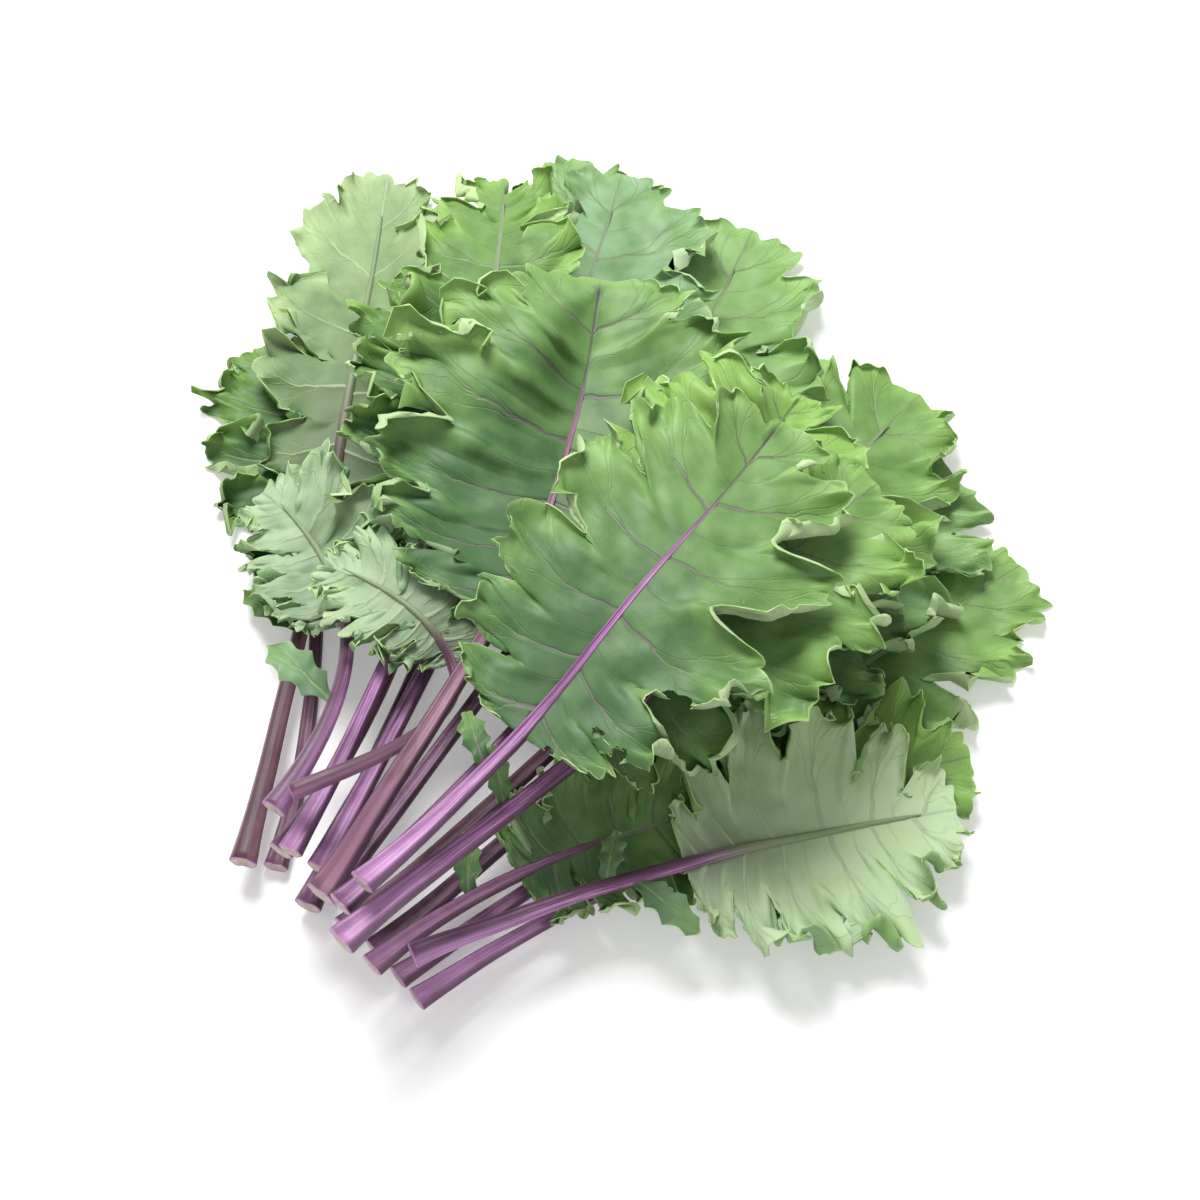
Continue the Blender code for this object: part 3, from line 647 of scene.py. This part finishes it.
        size = self.leaf.frill * wander(draw, line, RUFFLE_STEP, RUFFLE_LEAST, 1.0)[:, None]
        size = size * smoothstep((out - RUFFLE_START) / (1 - RUFFLE_START)) ** 1.5
        phase = turning(draw, line, RUFFLE_TURN_STEP, *RUFFLE_TURNS) + RUFFLE_BEND * swell
        fine_phase = turning(draw, line, FRILL_TURN_STEP, *FRILL_TURNS) + RUFFLE_BEND * pucker
        frill = FRILL_SHARE * size * smoothstep((out - FRILL_START) / (1 - FRILL_START))
        waves = size * np.sin(phase) + frill * np.sin(fine_phase)

        length = np.linalg.norm(np.diff(rest, axis=1, prepend=rest[:, :1]), axis=-1).cumsum(axis=1)
        beyond = np.maximum(length - CURL_START * length[:, -1:], 0)
        whole = np.maximum((1 - CURL_START) * length[:, -1:], 1e-6)
        curl = np.clip(wander(draw, line, CURL_STEP, *CURLS), 0, 1)[:, None]
        angle = CURL_ANGLE * curl * ends * beyond / whole
        inward = beyond * (np.sinc(angle / np.pi) - 1)
        raised = beyond * angle / 2 * np.sinc(angle / (2 * np.pi)) ** 2

        height = (relief + waves) * ends + raised
        moved = rest + normal * height[..., None] + outward * inward[..., None]
        moved = moved + beside * (SWAY * size * ends * np.sin(2 * phase))[..., None]
        return moved, np.clip((waves * ends + raised) / CREST_HEIGHT, -1, 1)


def rolling(draw, along, across, length):
    """Hills of about this length that run every way, mostly from -1 to 1."""
    height = np.zeros(along.shape)
    for _ in range(HILL_WAVES):
        heading, phase = draw.uniform(0, 2 * np.pi, 2)
        reach = along * math.cos(heading) + across * math.sin(heading)
        height += np.sin(2 * np.pi * reach / (length * draw.uniform(*HILL_SPAN)) + phase)
    return height / (0.5 * HILL_WAVES)


def line_pitch(points):
    """Millimetres per tooth between the lines of a grid."""
    return np.linalg.norm(np.gradient(points, axis=0), axis=-1) / (TEETH / (LINES - 1))


def turning(draw, line, step, low, high):
    """The phase of waves whose length wanders: turns for each tooth between low and high."""
    turns = np.cumsum(wander(draw, line, step, low, high)) * (line[1] - line[0])
    return (2 * np.pi * turns)[:, None]


def weld(points, facts, quads):
    """Points at one place made one, and faces that collapse left out or made triangles."""
    _, first, index = np.unique(np.round(points, 3), axis=0, return_index=True, return_inverse=True)
    index = index.reshape(-1)
    faces = []
    for quad in index[quads].tolist():
        face = [corner for k, corner in enumerate(quad) if corner != quad[k - 1]]
        if len(face) > 2:
            faces.append(face)
    return points[first], {name: values[first] for name, values in facts.items()}, faces


def grid_quads(lines, rows, start):
    """Quads between the points of a grid, whose first point has the number start."""
    corner = np.arange(start, start + lines * rows).reshape(lines, rows)
    quads = (corner[:-1, :-1], corner[1:, :-1], corner[1:, 1:], corner[:-1, 1:])
    return np.stack(quads, axis=-1).reshape(-1, 4)


def normals_of(points, faces):
    total = np.zeros_like(points)
    for size in (3, 4):
        group = np.array([face for face in faces if len(face) == size])
        if len(group):
            a, b, c, d = (points[group[:, k % size]] for k in (0, 1, 2, 3))
            face = np.cross(c - a, (d if size == 4 else a) - b)
            for corner in range(size):
                np.add.at(total, group[:, corner], face)
    return unit(total)


def thicken(points, faces, half):
    """A closed sheet's points, the faces of its other side and its rim."""
    normals = normals_of(points, faces)
    count = len(points)
    solid = np.concatenate((points + normals * half, points - normals * half))
    lower = [[corner + count for corner in reversed(face)] for face in faces]
    edges = {(face[k - 1], face[k]) for face in faces for k in range(len(face))}
    rim = [[b, a, a + count, b + count] for a, b in sorted(edges) if (b, a) not in edges]
    return solid, lower, rim


def add_object(name, data):
    made = bpy.data.objects.new(name, data)
    bpy.context.scene.collection.objects.link(made)
    return made


def make_piece(name, points, faces, slots, materials, facts, node):
    """A mesh object with its facts as attributes, that stands for a node."""
    mesh = bpy.data.meshes.new(name)
    mesh.from_pydata((points * MM).tolist(), [], faces)
    for material in materials:
        mesh.materials.append(material)
    mesh.polygons.foreach_set("material_index", slots)
    for fact, values in facts.items():
        kind = "FLOAT_VECTOR" if values.ndim > 1 else "FLOAT"
        field = "vector" if values.ndim > 1 else "value"
        attribute = mesh.attributes.new(fact, kind, "POINT")
        attribute.data.foreach_set(field, values.astype(np.float32).ravel())
    mesh.shade_smooth()
    mesh.set_sharp_from_angle(angle=math.radians(SHARP_ANGLE))
    made = add_object(name, mesh)
    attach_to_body(made, "root")
    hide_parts(node)


def sheet_piece(name, points, faces, facts, face, materials, node):
    """A thin sheet with a leaf's upper face, underside and rim in their own materials."""
    solid, lower, rim = thicken(points, faces, BLADE_HALF)
    upper_slot, lower_slot = (0, 1) if face == UP else (1, 0)
    slots = [upper_slot] * len(faces) + [lower_slot] * len(lower) + [2] * len(rim)
    doubled = {fact: np.concatenate((values, values)) for fact, values in facts.items()}
    make_piece(name, solid, faces + lower + rim, slots, materials, doubled, node)


def tints(leaf, count, *facts):
    """The leaf's own colour facts, the same at every point."""
    return {fact: np.full(count, getattr(leaf, fact)) for fact in facts}


def blade_piece(fine, materials):
    """Both halves of a blade, joined past the end of the midrib."""
    (left, facts), (right, right_facts) = (fine.half(side) for side in (1, -1))
    seam = vein_foot(np.linspace(0, TEETH, LINES)) >= SLOT_END
    left[seam, 0] = right[seam, 0] = 0.5 * (left[seam, 0] + right[seam, 0])
    left[-1] = right[-1] = 0.5 * (left[-1] + right[-1])
    points = np.concatenate((left, right)).reshape(-1, 3)
    for fact, values in facts.items():
        both = np.concatenate((values, right_facts[fact]))
        facts[fact] = both.reshape(-1, *both.shape[2:])
    quads = np.concatenate((grid_quads(LINES, ROWS, 0), grid_quads(LINES, ROWS, LINES * ROWS)[:, ::-1]))
    points, facts, faces = weld(points, facts, quads)
    facts.update(tints(fine.leaf, len(points), "tone", "blue", "purple"))
    if fine.leaf is LEAVES[-1]:
        faces = eat(points, faces)
    name, node = fine.name + "_fine_blade", fine.name + "_blade"
    sheet_piece(name, points, faces, facts, fine.leaf.face, materials, node)


def eat(points, faces):
    """The faces left round ragged holes, with the points inside each hole moved out to its edge."""
    centres = np.array([points[face, :2].mean(axis=0) for face in faces])
    kept = np.ones(len(faces), bool)
    for x, y, radius in HOLES:
        kept &= np.hypot(*(centres - (x, y)).T) > radius
        away = points[:, :2] - (x, y)
        ragged = radius * (1 + HOLE_RAGGED * np.sin(3 * np.arctan2(*away.T) + x))
        hit = np.hypot(*away.T) < ragged
        points[hit, :2] = (x, y) + unit(away[hit]) * ragged[hit, None]
    return [face for face, stays in zip(faces, kept) if stays]


def round_section():
    """The stem's section with points along a smooth closed curve through its corners."""
    p, q, r, s = (np.roll(SECTION, shift, axis=0) for shift in (1, 0, -1, -2))
    bend = 0.8 * p - 2.6 * q + 2.2 * r - 0.4 * s
    twist = -0.4 * p + 1.6 * q - 1.6 * r + 0.4 * s
    steps = np.arange(SECTION_STEPS) / SECTION_STEPS
    ring = [q + 0.4 * t * (r - p) + t**2 * bend + t**3 * twist for t in steps]
    return np.stack(ring, axis=1).reshape(-1, 2)


def stem_rings(fine, shares, section):
    """The stem's rings of points from its cut end to its tip."""
    leaf, path = fine.leaf, fine.path
    draw = np.random.default_rng(leaf.seed + 500)
    millimetres = shares * path.length
    around = np.arctan2(section[:, 1], section[:, 0])
    ridge = 1 + RIDGE_HEIGHT * np.cos(RIDGES * around + draw.uniform(0, 6.3))
    tip = smoothstep((shares[-1] - shares) * path.length / TIP_LENGTH)
    width = path.stem_width(shares) * (TIP_WIDTH + (1 - TIP_WIDTH) * tip)
    width = width * wander(draw, millimetres, *UNEVEN_WIDTH)
    section = (section * ridge[:, None])[:: leaf.face] * (1, leaf.face)
    across = path.across(shares)
    lateral = (section[:, 0] * width[:, None])[..., None] * across[:, None, :]
    sway = wander(draw, millimetres, *UNEVEN_LINE) * width / leaf.stem
    plan = (path.point(shares) + sway[:, None] * across)[:, None, :] + lateral
    level = fine.stem_middle(shares)[:, None] + section[:, 1] * STEM_HEIGHT_SHARE * width[:, None]
    return np.concatenate((plan, np.maximum(level, 0)[..., None]), axis=-1)


def tube_faces(rings, sides):
    """The faces of a closed tube with their slots. The first rings are a cut end, round a point."""
    faces, slots = [], []
    for ring in range(rings - 1):
        for k in range(sides):
            a, b = ring * sides + k, ring * sides + (k + 1) % sides
            faces.append([a, b, b + sides, a + sides])
            slots.append(1 if ring < len(CUT_RINGS) else 0)
    count = rings * sides
    for k in range(sides):
        faces.append([count, (k + 1) % sides, k])
        slots.append(1)
    faces.append(list(range(count - sides, count)))
    slots.append(0)
    return faces, slots


def stem_piece(fine, materials):
    """The petiole and midrib: ridged, a little uneven, with a pale, hollowed cut end."""
    leaf, path = fine.leaf, fine.path
    section = round_section()
    shares = np.linspace(0.0, path.on_leaf(RIB_REACH), STEM_RINGS)
    stem = stem_rings(fine, shares, section)
    centre = stem[0].mean(axis=0)
    inward = np.append(unit(path.chord), 0)
    cut = [centre + (stem[0] - centre) * size + inward * depth for size, depth in CUT_RINGS]
    rings = np.concatenate((cut, stem))
    points = np.concatenate((rings.reshape(-1, 3), [centre + inward * CUT_MIDDLE]))
    sides = len(section)
    faces, slots = tube_faces(len(rings), sides)
    around = np.arctan2(section[:, 1], section[:, 0])
    no_reach = np.zeros(len(CUT_RINGS))

    def by_ring(values):
        return np.append(np.repeat(values, sides), 0)

    def by_side(values):
        return np.append(np.tile(values, len(rings)), 0)

    reach = by_ring(np.append(no_reach, shares * path.length))
    up_blade = (shares - leaf.petiole) / (1 - leaf.petiole)
    turned = (by_side(np.cos(around)) * leaf.stem, by_side(np.sin(around)) * leaf.stem)
    facts = {
        "along": by_ring(np.append(no_reach, up_blade)),
        "reach": reach,
        "flat_place": np.stack((reach + leaf.seed * PLACE_STEP, *turned), axis=-1),
        # how far a point lies on the stem's sides, for painted shade
        "flank_shade": by_side(np.abs(np.cos(around))),
        "core": by_ring(np.append([size for size, _ in CUT_RINGS], np.ones(len(stem)))),
    }
    facts.update(tints(leaf, len(points), "purple", "plum", "rose"))
    name, node = fine.name + "_fine_stem", fine.name + "_stem"
    make_piece(name, points, faces, slots, materials, facts, node)


def leaflet_piece(fine, number, place, side, length, materials):
    """A small ruffled lobe that grows from the petiole."""
    leaf, path = fine.leaf, fine.path
    draw = np.random.default_rng(leaf.seed * 7 + number)
    away = path.across(place) * side
    along = np.array((away[1], -away[0])) * side
    heading = away * LEAFLET_HEADING[0] + along * LEAFLET_HEADING[1]
    beside = np.array((-heading[1], heading[0])) * side
    share = np.linspace(0, 1, LEAFLET_LINES)
    edge = np.linspace(-1, 1, LEAFLET_COLUMNS)
    spread = slide(np.interp(share, *np.array(LEAFLET_ROWS).T), 3)
    tooth = 1 - np.abs(np.cos(np.pi * (LEAFLET_TEETH * share + draw.uniform(0, 1))))
    tooth = LEAFLET_TOOTH * tooth * smoothstep(share * 4)
    half_width = (spread - LEAFLET_TRIM + tooth) * length * LEAFLET_HALF_WIDTH
    out = half_width[:, None] * edge
    centre = path.point(place) + heading * (length * share)[:, None]
    plan = centre[:, None] + out[..., None] * beside
    height = fill_gaps(fine.stem.middle(plan))
    height = slide(slide(height, 2), 1, 1)
    root = height[:LEAFLET_ROOT]
    height[:LEAFLET_ROOT] = np.minimum(root, fine.stem_middle(place) + 1.0)
    wave = np.sin(2 * np.pi * (LEAFLET_WAVES * share[:, None] + 0.2 * edge + draw.uniform(0, 1)))
    wave = wave * np.abs(edge) ** 1.5 * smoothstep(share * 3)[:, None]
    height = np.maximum(height + LEAFLET_WAVE_HEIGHT * wave, FLOOR_GAP)
    points = np.concatenate((plan, height[..., None]), axis=-1).reshape(-1, 3)
    faces = grid_quads(LEAFLET_LINES, LEAFLET_COLUMNS, 0).tolist()
    if normals_of(points, faces)[:, 2].mean() < 0:
        faces = [face[::-1] for face in faces]

    def by_line(values):
        return np.repeat(values, LEAFLET_COLUMNS)

    count = len(points)
    own_place = np.full(count, leaf.seed * LEAFLET_PLACE_STEP + number)
    facts = {
        "place": np.tile(1.5 + 1.5 * edge, LEAFLET_LINES),
        "out": by_line(share),
        "pitch": by_line(np.maximum(half_width, 0.3) / 1.5),
        "rib": np.full(count, 9.0),
        "along": by_line(0.4 + 0.6 * share),
        "crest_shading": np.zeros(count),
        "flat_place": np.stack((by_line(share * length), out.reshape(-1), own_place), axis=-1),
    }
    facts.update(tints(leaf._replace(tone=LEAFLET_TONE), count, "tone", "blue", "purple"))
    name, node = f"{fine.name}_leaflet_{number}", fine.name + "_stem"
    sheet_piece(name, points, faces, facts, UP, materials, node)


class Shade:
    """A material built up by short calls, each giving a socket to pass on."""

    def __init__(self, name, roughness, gloss=GLOSS):
        self.material = bpy.data.materials.new(name)
        self.material.use_nodes = True
        self.tree = self.material.node_tree
        self.shader = self.tree.nodes["Principled BSDF"]
        self.shader.inputs["Roughness"].default_value = roughness
        self.shader.inputs["Specular IOR Level"].default_value = gloss
        self.shader.inputs["Metallic"].default_value = 0.0

    def put(self, value, socket):
        if isinstance(value, bpy.types.NodeSocket):
            self.tree.links.new(value, socket)
        elif isinstance(value, tuple):
            socket.default_value = (*value, 1.0)
        else:
            socket.default_value = value

    def fact(self, name, field="Fac"):
        node = self.tree.nodes.new("ShaderNodeAttribute")
        node.attribute_name = name
        return node.outputs[field]

    def flat(self):
        """The place on the leaf laid flat, in millimetres."""
        return self.fact("flat_place", "Vector")

    def math(self, operation, *values):
        node = self.tree.nodes.new("ShaderNodeMath")
        node.operation = operation
        for value, socket in zip(values, node.inputs):
            self.put(value, socket)
        return node.outputs[0]

    def times(self, value, factor):
        return self.math("MULTIPLY", value, factor)

    def minus(self, value, other):
        return self.math("SUBTRACT", value, other)

    def more(self, base, value, factor):
        """The base and so many times the value."""
        return self.math("MULTIPLY_ADD", value, factor, base)

    def fade(self, value, start, end, low=0.0, high=1.0):
        """A smooth change from low at start to high at end."""
        node = self.tree.nodes.new("ShaderNodeMapRange")
        node.interpolation_type = "SMOOTHSTEP"
        for value, socket in zip((value, start, end, low, high), node.inputs):
            self.put(value, socket)
        return node.outputs[0]

    def mix(self, share, first, second):
        node = self.tree.nodes.new("ShaderNodeMix")
        node.data_type = "RGBA"
        for value, number in ((share, 0), (first, 6), (second, 7)):
            self.put(value, node.inputs[number])
        return node.outputs[2]

    def noise(self, place, scale, detail=2.0, roughness=0.55):
        node = self.tree.nodes.new("ShaderNodeTexNoise")
        self.tree.links.new(place, node.inputs["Vector"])
        node.inputs["Scale"].default_value = scale
        node.inputs["Detail"].default_value = detail
        node.inputs["Roughness"].default_value = roughness
        return node.outputs["Fac"]

    def finish(self, colour, height, depth):
        self.tree.links.new(colour, self.shader.inputs["Base Color"])
        bump = self.tree.nodes.new("ShaderNodeBump")
        bump.inputs["Strength"].default_value = 0.6
        bump.inputs["Distance"].default_value = depth * MM
        self.tree.links.new(height, bump.inputs["Height"])
        self.tree.links.new(bump.outputs[0], self.shader.inputs["Normal"])
        return self.material


def vein_lines(shade):
    """How much each place lies on a side vein, and on the finer veins that branch from it."""
    wobble = shade.minus(shade.noise(shade.flat(), 0.09, 1.0), 0.5)
    place = shade.more(shade.fact("place"), wobble, 0.35)
    out = shade.more(shade.fact("out"), wobble, 0.12)
    pitch = shade.fact("pitch")
    turn = shade.math("MODULO", place, float(TEETH_PER_LOBE))
    off = shade.math("ABSOLUTE", shade.minus(turn, 0.5 * TEETH_PER_LOBE))
    width = shade.fade(out, 0.0, 1.0, 1.0, 0.25)
    main = shade.math("DIVIDE", shade.times(off, pitch), width)
    main = shade.fade(main, *VEIN_EDGE, 1.0, 0.0)
    branches = 0.0
    for start, begin, end in VEIN_BRANCHES:
        run = shade.math("DIVIDE", shade.minus(out, start), 1 - start)
        target = shade.more(begin, run, end - begin)
        gap = shade.times(shade.math("ABSOLUTE", shade.minus(off, target)), pitch)
        line = shade.fade(gap, *FINE_VEIN_EDGE, 1.0, 0.0)
        shown = shade.times(line, shade.fade(out, start - 0.01, start + 0.02))
        branches = shade.math("MAXIMUM", branches, shown)
    between = shade.times(shade.minus(0.5 * TEETH_PER_LOBE, off), pitch)
    between = shade.fade(between, *FINE_VEIN_EDGE, 1.0, 0.0)
    between = shade.times(between, shade.fade(out, 0.6, 0.4))
    branches = shade.math("MAXIMUM", branches, between)
    midvein = shade.fade(shade.fact("rib"), *MIDVEIN_EDGE, 1.0, 0.0)
    return shade.math("MAXIMUM", main, midvein), branches


def leaf_material(face):
    """A face of a blade: smooth mottled green, fresher at margins, with side veins and painted light and
    shade.
    """
    shade = Shade(face.name, face.roughness)
    flat, out, along = shade.flat(), shade.fact("out"), shade.fact("along")
    mottle = shade.minus(shade.noise(flat, 0.05, 2.0), 0.5)
    speckle = shade.noise(flat, 0.55, 1.0)
    tone = shade.more(shade.fact("tone"), mottle, 0.9)
    tone = shade.more(tone, shade.minus(speckle, 0.5), 0.14)
    tone = shade.more(tone, shade.fade(out, 0.45, 1.0), 0.32)
    tone = shade.math("ADD", shade.fade(along, 0.1, 0.95, -0.3, 0.2), tone)
    # painted highlight on ruffle crests and painted shade in their troughs
    tone = shade.more(tone, shade.fact("crest_shading"), 0.4)
    tone.node.use_clamp = True
    colour = shade.mix(tone, face.dark, face.fresh)
    bloom = shade.times(shade.fact("blue"), shade.fade(mottle, -0.2, 0.2, 0.4, 1.0))
    colour = shade.mix(bloom, colour, face.wax)
    # painted shade: grey near the base and the midrib
    inner = shade.fade(along, 0.0, 0.6, face.dusk, 0.0)
    inner = shade.times(inner, shade.fade(out, 0.0, 0.7, 1.0, 0.0))
    colour = shade.mix(inner, colour, BASE_SHADE_GREY)
    main, branches = vein_lines(shade)
    purple = shade.times(shade.fact("purple"), face.purple)
    purple = shade.times(purple, shade.fade(out, 0.2, 0.95, 1.0, 0.0))
    vein = shade.mix(purple, face.vein, VEIN_PURPLE)
    colour = shade.mix(shade.times(branches, 0.3), colour, vein)
    colour = shade.mix(shade.times(main, shade.fade(out, 0.5, 1.0, 0.85, 0.25)), colour, vein)
    # painted highlight: a pale line along the margin, in places
    edge = shade.times(shade.fade(out, 0.97, 1.0), shade.fade(mottle, -0.15, 0.15, 0.1, 0.6))
    colour = shade.mix(edge, colour, RIM_HIGHLIGHT_GREEN)
    height = shade.more(shade.times(speckle, 0.2), main, face.bump)
    height = shade.more(height, branches, 0.7 * face.bump)
    return shade.finish(colour, height, 0.4)


def rim_material():
    shade = Shade("leaf_rim", 0.5)
    spots = shade.noise(shade.flat(), 0.2)
    # the sheet's rim is painted pale as a highlight along the margin, with fresher green spots
    colour = shade.mix(shade.fade(spots, 0.35, 0.7), RIM_HIGHLIGHT_GREEN, FRESH_GREEN)
    return shade.finish(colour, spots, 0.2)


def stem_material():
    """Purple skin with lengthwise streaks and painted shade on its sides, that turns green up the midrib.
    """
    shade = Shade("stem_skin", 0.38)
    flat = shade.flat()
    stretch = shade.tree.nodes.new("ShaderNodeMapping")
    stretch.inputs["Scale"].default_value = (0.02, 0.5, 0.5)
    shade.tree.links.new(flat, stretch.inputs["Vector"])
    streaks = shade.noise(stretch.outputs[0], 1.6, 3.0, 0.6)
    patches = shade.noise(flat, 0.05, 2.0)
    colour = shade.mix(shade.fade(streaks, 0.36, 0.68), STEM_PURPLE, STEM_PINK)
    colour = shade.mix(shade.fade(shade.fact("reach"), 5.0, 90.0, 0.7, 0.0), colour, STEM_PINK)
    colour = shade.mix(shade.fact("rose"), colour, STEM_ROSE)
    plum = shade.more(shade.fact("plum"), shade.fade(patches, 0.42, 0.7), 0.35)
    colour = shade.mix(plum, colour, STEM_PLUM_AND_SHADE)
    # painted shade: the stem's sides darker than its top and underside
    flank_shade = shade.fade(shade.fact("flank_shade"), 0.4, 0.95, 0.0, 0.75)
    colour = shade.mix(flank_shade, colour, STEM_PLUM_AND_SHADE)
    limit = shade.more(0.02, shade.fact("purple"), 0.65)
    past = shade.minus(shade.fact("along"), limit)
    past = shade.more(past, shade.minus(streaks, 0.5), 0.25)
    rib_end = shade.mix(shade.fact("purple"), RIB_GREEN, RIB_PURPLE)
    colour = shade.mix(shade.fade(past, -0.1, 0.3), colour, rib_end)
    return shade.finish(colour, streaks, 0.35)


def cut_material():
    """The cut face of a stem: pale flesh with darker strands and a purple skin round it."""
    shade = Shade("stem_cut", 0.6)
    strands = shade.fade(shade.noise(shade.flat(), 0.9, 2.0), 0.45, 0.65)
    colour = shade.mix(shade.times(strands, 0.35), CUT_PALE, RIB_GREEN)
    colour = shade.mix(shade.fade(shade.fact("core"), 0.72, 0.95), colour, STEM_PINK)
    return shade.finish(colour, strands, 0.3)


def plan_shift():
    """From the leaf table's plan to the frame, found from the lowest leaf's stem."""
    path = Path(LEAVES[0], np.zeros(2))
    feet = vein_foot(np.arange(0, TEETH + 1, FEET_STEP))
    below = LEAVES[0].petiole * np.linspace(0, 1, STEM_STATIONS, endpoint=False)
    above = path.on_leaf(np.append(feet[feet < RIB_END], RIB_END))
    shares = np.concatenate((below, above))
    lateral = (SECTION[:, 0] * path.stem_width(shares)[:, None])[..., None]
    outline = path.point(shares)[:, None, :] + lateral * path.across(shares)[:, None, :]
    outline = outline.reshape(-1, 2)
    low, high = (np.array(corner[:2]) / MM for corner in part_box("leaf_01_stem"))
    return 0.5 * (low + high - outline.min(axis=0) - outline.max(axis=0))


def dress():
    """Every leaf's fine pieces."""
    sheet_materials = (leaf_material(UPPER_FACE), leaf_material(LOWER_FACE), rim_material())
    stem_materials = (stem_material(), cut_material())
    shift = plan_shift()
    solids = [
        (Solid(f"leaf_{number:02d}_stem"), Solid(f"leaf_{number:02d}_blade"))
        for number in range(1, len(LEAVES) + 1)
    ]
    room = Room(solids)
    for number, (leaf, (stem, blade)) in enumerate(zip(LEAVES, solids)):
        fine = FineLeaf(number, leaf, shift, stem, blade, room)
        blade_piece(fine, sheet_materials)
        stem_piece(fine, stem_materials)
        for leaflet_number, (place, side, length) in enumerate(leaf.leaflets, 1):
            leaflet_piece(fine, leaflet_number, place, side, length, sheet_materials)


def lay_floor():
    shade = Shade("floor", FLOOR_ROUGHNESS, FLOOR_GLOSS)
    shade.put(FLOOR_WHITE, shade.shader.inputs["Base Color"])
    shade.put(WHITE, shade.shader.inputs["Emission Color"])
    shade.put(FLOOR_GLOW, shade.shader.inputs["Emission Strength"])
    mesh = bpy.data.meshes.new("floor")
    corners = [(-1, -1, 0), (1, -1, 0), (1, 1, 0), (-1, 1, 0)]
    mesh.from_pydata([Vector(corner) * FLOOR_REACH for corner in corners], [], [(0, 1, 2, 3)])
    mesh.materials.append(shade.material)
    add_object("floor", mesh)


def light_studio():
    """Round lights that face the origin, and a white sky."""
    for name, place, size, energy in LIGHTS:
        light = bpy.data.lights.new(name, "AREA")
        light.shape = "DISK"
        light.size = size
        light.energy = energy
        made = add_object(name, light)
        made.location = place
        made.rotation_euler = Vector(place).to_track_quat("Z", "Y").to_euler()
    world = bpy.data.worlds.new("studio")
    world.use_nodes = True
    background = world.node_tree.nodes["Background"]
    background.inputs["Color"].default_value = (*WHITE, 1)
    background.inputs["Strength"].default_value = DAYLIGHT
    bpy.context.scene.world = world
    bpy.context.scene.view_settings.view_transform = "Standard"


def set_camera():
    azimuth, elevation = math.radians(CAMERA_AZIMUTH), math.radians(CAMERA_ELEVATION)
    level = math.cos(elevation)
    back = Vector((math.sin(azimuth) * level, -math.cos(azimuth) * level, math.sin(elevation)))
    camera = add_object("camera", bpy.data.cameras.new("camera"))
    camera.data.lens = CAMERA_LENS
    camera.location = Vector(CAMERA_TARGET) + back * CAMERA_DISTANCE
    camera.rotation_euler = back.to_track_quat("Z", "Y").to_euler()
    bpy.context.scene.camera = camera


dress()
lay_floor()
light_studio()
set_camera()
